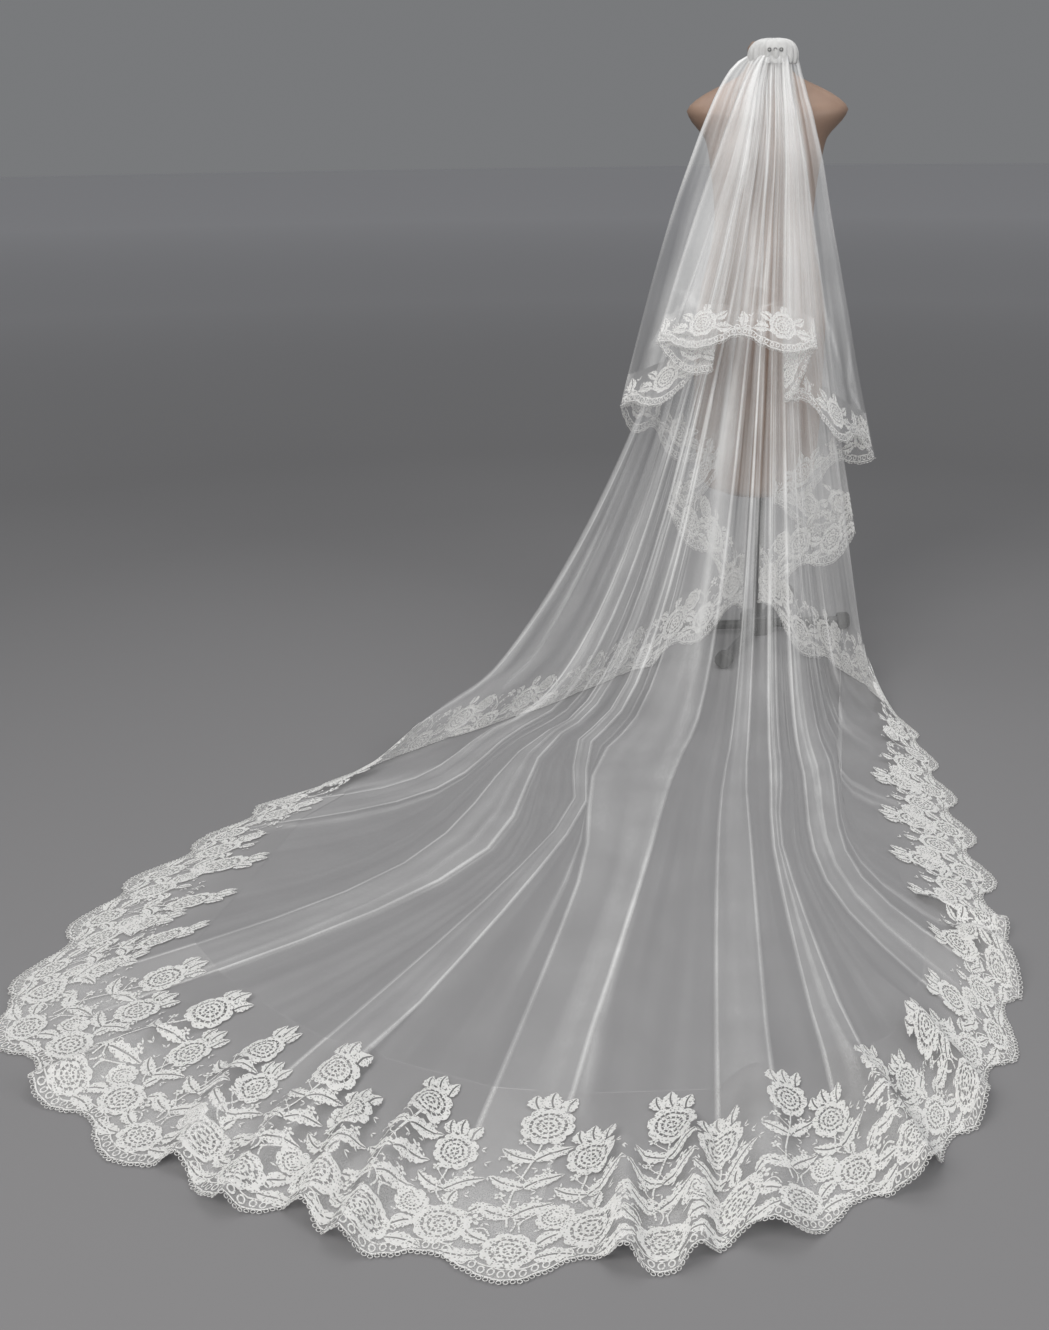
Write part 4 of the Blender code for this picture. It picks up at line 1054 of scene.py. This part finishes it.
for panel in panels:
    start, stop = panelRange(panel)
    indices = np.arange(start, stop + 1)
    run = indices % count
    alongHere = along[run] + hemLength * (indices // count)
    wide = wRow * split
    sheet = grid[:wide + 1, run]
    uv = np.stack((np.broadcast_to(alongHere, sheet.shape[:2]), down[:wide + 1, run]), axis=-1)
    cloth = sheetObject(panel.tulle + "_cloth", sheet, uv, cover[:wide + 1, run], tulleCloth)
    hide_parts(panel.tulle)
    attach(cloth, "root")

    reach = np.array([hemReach(x) for x in alongHere])
    border = grid[wide:, run].copy()
    steps = np.clip((np.arange(border.shape[0]) - split) / (2.0 * split), 0.0, 1.0)
    border += hemOut[run][None] * (steps[:, None] * reach[None])[..., None]
    border[..., 2] = np.maximum(border[..., 2], veilLook["netFloor"])
    depthRun = down[wide:, run] - down[wide, run]
    uv = np.stack((np.broadcast_to(alongHere, border.shape[:2]), depthRun), axis=-1)
    fade = np.clip((depthRun / depthRun[-1] - 0.15) / 0.55, 0.0, 1.0) ** 1.5
    ground = np.clip(veilLook["netCover"] * (0.45 + 2.0 * depthRun[-1]), 0.0, veilLook["netCover"])
    netCover = cover[wide:, run] + (ground - cover[wide:, run]) * fade
    net = sheetObject(panel.lace + "_net", border, uv, netCover, netCloth)
    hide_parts(panel.lace)
    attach(net, "root")

    drawing = Drawing()
    first = math.ceil(alongHere[0] / repeatLength - 0.5)
    last = math.ceil(alongHere[-1] / repeatLength - 0.5)
    for number in range(first, last):
        drawRepeat(drawing, (number + 0.5) * repeatLength)
    flat = np.array(drawing.points)
    placed = borderPoints(flat[:, 0], flat[:, 1], flat[:, 2])
    work = meshObject(panel.lace + "_thread", placed, drawing.faces, laceThread)
    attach(work, "root")
    xs = np.arange(alongHere[0], alongHere[-1], 0.004)
    ys = np.array([-hemReach(x) - 0.0026 for x in xs])
    edging = fromNodes(panel.lace + "_picots", borderPoints(xs, ys, np.zeros(len(xs))), picots)
    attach(edging, "root")
    print(panel.tulle, "made:", len(sheet[0]), "columns,", len(drawing.faces), "lace faces")


formLook = {"levels": 84, "around": 96}


# A curve through a table's rows that never swings past them.
def smoothTable(rows, x):
    xs = [row[0] for row in rows]
    ys = [row[1] for row in rows]
    slopes = [(y1 - y0) / (x1 - x0) for x0, x1, y0, y1 in zip(xs, xs[1:], ys, ys[1:])]
    leans = [slopes[0]]
    for before, after in zip(slopes, slopes[1:]):
        leans.append(0.0 if before * after <= 0 else 2 * before * after / (before + after))
    leans.append(slopes[-1])
    index = min(max(int(np.searchsorted(xs, x, side="right")) - 1, 0), len(slopes) - 1)
    width = xs[index + 1] - xs[index]
    t = (x - xs[index]) / width
    return ((2 * t ** 3 - 3 * t ** 2 + 1) * ys[index] + (t ** 3 - 2 * t ** 2 + t) * width * leans[index]
            + (3 * t ** 2 - 2 * t ** 3) * ys[index + 1] + (t ** 3 - t ** 2) * width * leans[index + 1])


# Rings of points joined in order, with a fan at each end.
def loft(name, rings, material):
    around = len(rings[0])
    vertices = [point for ring in rings for point in ring]
    vertices += [tuple(np.mean(rings[0], axis=0)), tuple(np.mean(rings[-1], axis=0))]
    bottom, top = len(vertices) - 2, len(vertices) - 1
    faces = []
    for level in range(len(rings) - 1):
        for side in range(around):
            after = (side + 1) % around
            low, high = level * around, (level + 1) * around
            faces.append((low + side, low + after, high + after, high + side))
    last = (len(rings) - 1) * around
    for side in range(around):
        after = (side + 1) % around
        faces.append((bottom, after, side))
        faces.append((top, last + side, last + after))
    return meshObject(name, vertices, faces, material)


halfWidths = [(height, width) for height, width, front in formRings]
fronts = [(height, front) for height, width, front in formRings]
rings = []
low, high = formRings[0][0], formRings[-1][0]
for level in range(formLook["levels"] + 1):
    share = level / formLook["levels"]
    height = low + (high - low) * share
    width, front = smoothTable(halfWidths, height), smoothTable(fronts, height)
    rear = fromTable(back, height) - formSkin
    middle, depth = (front - rear) / 2, (front + rear) / 2
    ring = []
    for side in range(formLook["around"]):
        turn = 2 * math.pi * side / formLook["around"]
        ring.append((formX + width * math.cos(turn), middle + depth * math.sin(turn), height))
    rings.append(ring)
body = loft("gown_form", rings, formSkinMaterial)
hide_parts("form_body")
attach(body, "root")
print("form made")

headingLook = {
    # Height, and the size there as a share of the half widths
    "rings": ((1.4400, 0.92), (1.4520, 0.97), (1.4620, 0.96), (1.4700, 0.92), (1.4780, 0.83),
              (1.4840, 0.70), (1.4880, 0.50), (1.4900, 0.22)),
    "half": (0.062, 0.0300),
    "y": -0.0610,
    "ribs": 19, "perRib": 10, "levels": 28,
    "ribHeight": 0.0052,
    "puff": 0.0011,
    "scallop": 0.007,    # how far the lower edge hangs down under each rib
    "ripple": 0.0012,
}
rings = []
around = headingLook["ribs"] * headingLook["perRib"]
for level in range(headingLook["levels"] + 1):
    share = level / headingLook["levels"]
    height = headingLook["rings"][0][0]
    height += (headingLook["rings"][-1][0] - headingLook["rings"][0][0]) * share
    size = smoothTable(headingLook["rings"], height)
    fade = 0.4 + 0.6 * math.sin(math.pi * min(1.0, share + 0.2))
    ring = []
    for side in range(around):
        turn = 2 * math.pi * side / around
        phase = turn * headingLook["ribs"] + 0.8 * math.sin(3 * turn)
        lobe = abs(math.sin(phase / 2))
        rib = headingLook["ribHeight"] * (lobe - 0.75) * fade
        puff = headingLook["puff"] * math.sin(5.0 * turn + 7.0 * share)
        sag = headingLook["scallop"] * (1.0 - share) * lobe
        ripple = headingLook["ripple"] * share * math.sin(phase / 2 + 1.0)
        ring.append((combX + (headingLook["half"][0] * size + rib) * math.cos(turn),
                     headingLook["y"] + (headingLook["half"][1] * size + rib + puff) * math.sin(turn),
                     height - sag + ripple))
    rings.append(ring)
puff = loft("gathered_puff", rings, shadedPuffCloth)
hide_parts("gathered_heading")
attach(puff, "root")

loopLook = {"places": (-0.028, -0.014, 0.000), "height": 1.4640, "radius": 0.0036,
            "thread": 0.0010, "around": 20, "sides": 8}
for number, x in enumerate(loopLook["places"]):
    vertices, faces = [], []
    around, sides = loopLook["around"], loopLook["sides"]
    y = headingLook["y"] - headingLook["half"][1] * 0.97
    for step in range(around):
        turn = 2 * math.pi * step / around
        for side in range(sides):
            bend = 2 * math.pi * side / sides
            out = loopLook["radius"] + loopLook["thread"] * math.cos(bend)
            vertices.append((x + out * math.cos(turn), y + loopLook["thread"] * math.sin(bend),
                             loopLook["height"] + out * math.sin(turn)))
            here, ahead = step * sides, (step + 1) % around * sides
            after = (side + 1) % sides
            faces.append((here + side, here + after, ahead + after, ahead + side))
    loop = meshObject("heading_loop_%d" % (number + 1), vertices, faces, loopMaterial)
    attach(loop, "root")
print("heading made")

looks = {"comb": combMaterial, "pole": metalMaterial, "base_hub": metalMaterial}
for number in range(1, 5):
    looks["base_leg_%d" % number] = metalMaterial
    looks["foot_cap_%d" % number] = rubberMaterial
for name, material in looks.items():
    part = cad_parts[name]
    part.data.materials.clear()
    part.data.materials.append(material)
print("stand painted")

stageLook = {
    "radius": 45.0,
    "sides": 96,
    "height": -0.0005,
    "middle": (-0.4, -0.8, 0.0),
    # Grey of the paper floor at shares of the way out, with painted light: paler further out, where the
    # lamps no longer reach
    "paintedLightGreys": ((0.0, 0.186), (0.050, 0.186), (0.076, 0.220), (0.21, 0.64), (0.45, 0.93)),
}
around = stageLook["sides"]
vertices = [(0.0, 0.0, stageLook["height"])]
for side in range(around):
    turn = 2 * math.pi * side / around
    vertices.append((stageLook["radius"] * math.cos(turn), stageLook["radius"] * math.sin(turn),
                     stageLook["height"]))
faces = [(0, 1 + side, 1 + (side + 1) % around) for side in range(around)]
floorMaterial = hardMaterial("floor_paper", (0.190, 0.188, 0.193), (0.195, 0.193, 0.198),
                             roughness=0.85, grain=3.0, bump=0.02)
tree = floorMaterial.node_tree
place = node(tree, "ShaderNodeTexCoord")
shift = node(tree, "ShaderNodeVectorMath", operation="SUBTRACT")
shift.inputs[1].default_value = stageLook["middle"]
tree.links.new(place.outputs["Object"], shift.inputs[0])
reach = node(tree, "ShaderNodeVectorMath", operation="LENGTH")
tree.links.new(shift.outputs["Vector"], reach.inputs[0])
# The ramp paints light into the floor's colour: paler the further from the middle
ramp = node(tree, "ShaderNodeValToRGB")
for index, (share, grey) in enumerate(stageLook["paintedLightGreys"]):
    stop = ramp.color_ramp.elements[index] if index < 1 else ramp.color_ramp.elements.new(share)
    stop.position = share
    stop.color = (grey, grey * 0.99, grey * 1.015, 1.0)
ramp.color_ramp.elements.remove(ramp.color_ramp.elements[-1])
wayOut = mapRange(tree, reach.outputs["Value"], 0.0, 1.0, 0.0, stageLook["radius"])
tree.links.new(wayOut, ramp.inputs["Fac"])
tree.links.new(ramp.outputs["Color"], tree.nodes["Principled BSDF"].inputs["Base Color"])
paper = meshObject("paper_floor", vertices, faces, floorMaterial)


def areaLight(name, place, target, size, power, colour=(1.0, 1.0, 1.0)):
    light = bpy.data.lights.new(name, "AREA")
    light.shape = "RECTANGLE"
    light.size, light.size_y = size
    light.energy = power
    light.color = colour
    thing = linked(name, light)
    thing.location = place
    thing.rotation_euler = (Vector(target) - Vector(place)).to_track_quat("-Z", "Y").to_euler()


lightLook = {
    "key": {"place": (-2.8, -5.0, 3.6), "target": (-0.3, -0.8, 0.5), "size": (3.0, 2.4),
            "power": 205.0, "colour": (1.0, 0.985, 0.96)},
    "fill": {"place": (3.4, -3.8, 2.6), "target": (-0.1, -0.6, 0.6), "size": (2.6, 2.6), "power": 82.0},
    "over": {"place": (-0.2, -0.6, 4.0), "target": (-0.2, -0.9, 0.0), "size": (3.5, 3.5), "power": 88.0},
}
skyLook = {"colour": (0.95, 0.97, 1.0, 1.0), "strength": 0.20}
for name, look in lightLook.items():
    areaLight(name, **look)
world = bpy.data.worlds.new("sky")
world.use_nodes = True
world.node_tree.nodes["Background"].inputs["Color"].default_value = skyLook["colour"]
world.node_tree.nodes["Background"].inputs["Strength"].default_value = skyLook["strength"]
bpy.context.scene.world = world
bpy.context.scene.cycles.transparent_max_bounces = 24
bpy.context.scene.view_settings.view_transform = "Standard"
print("lights made")
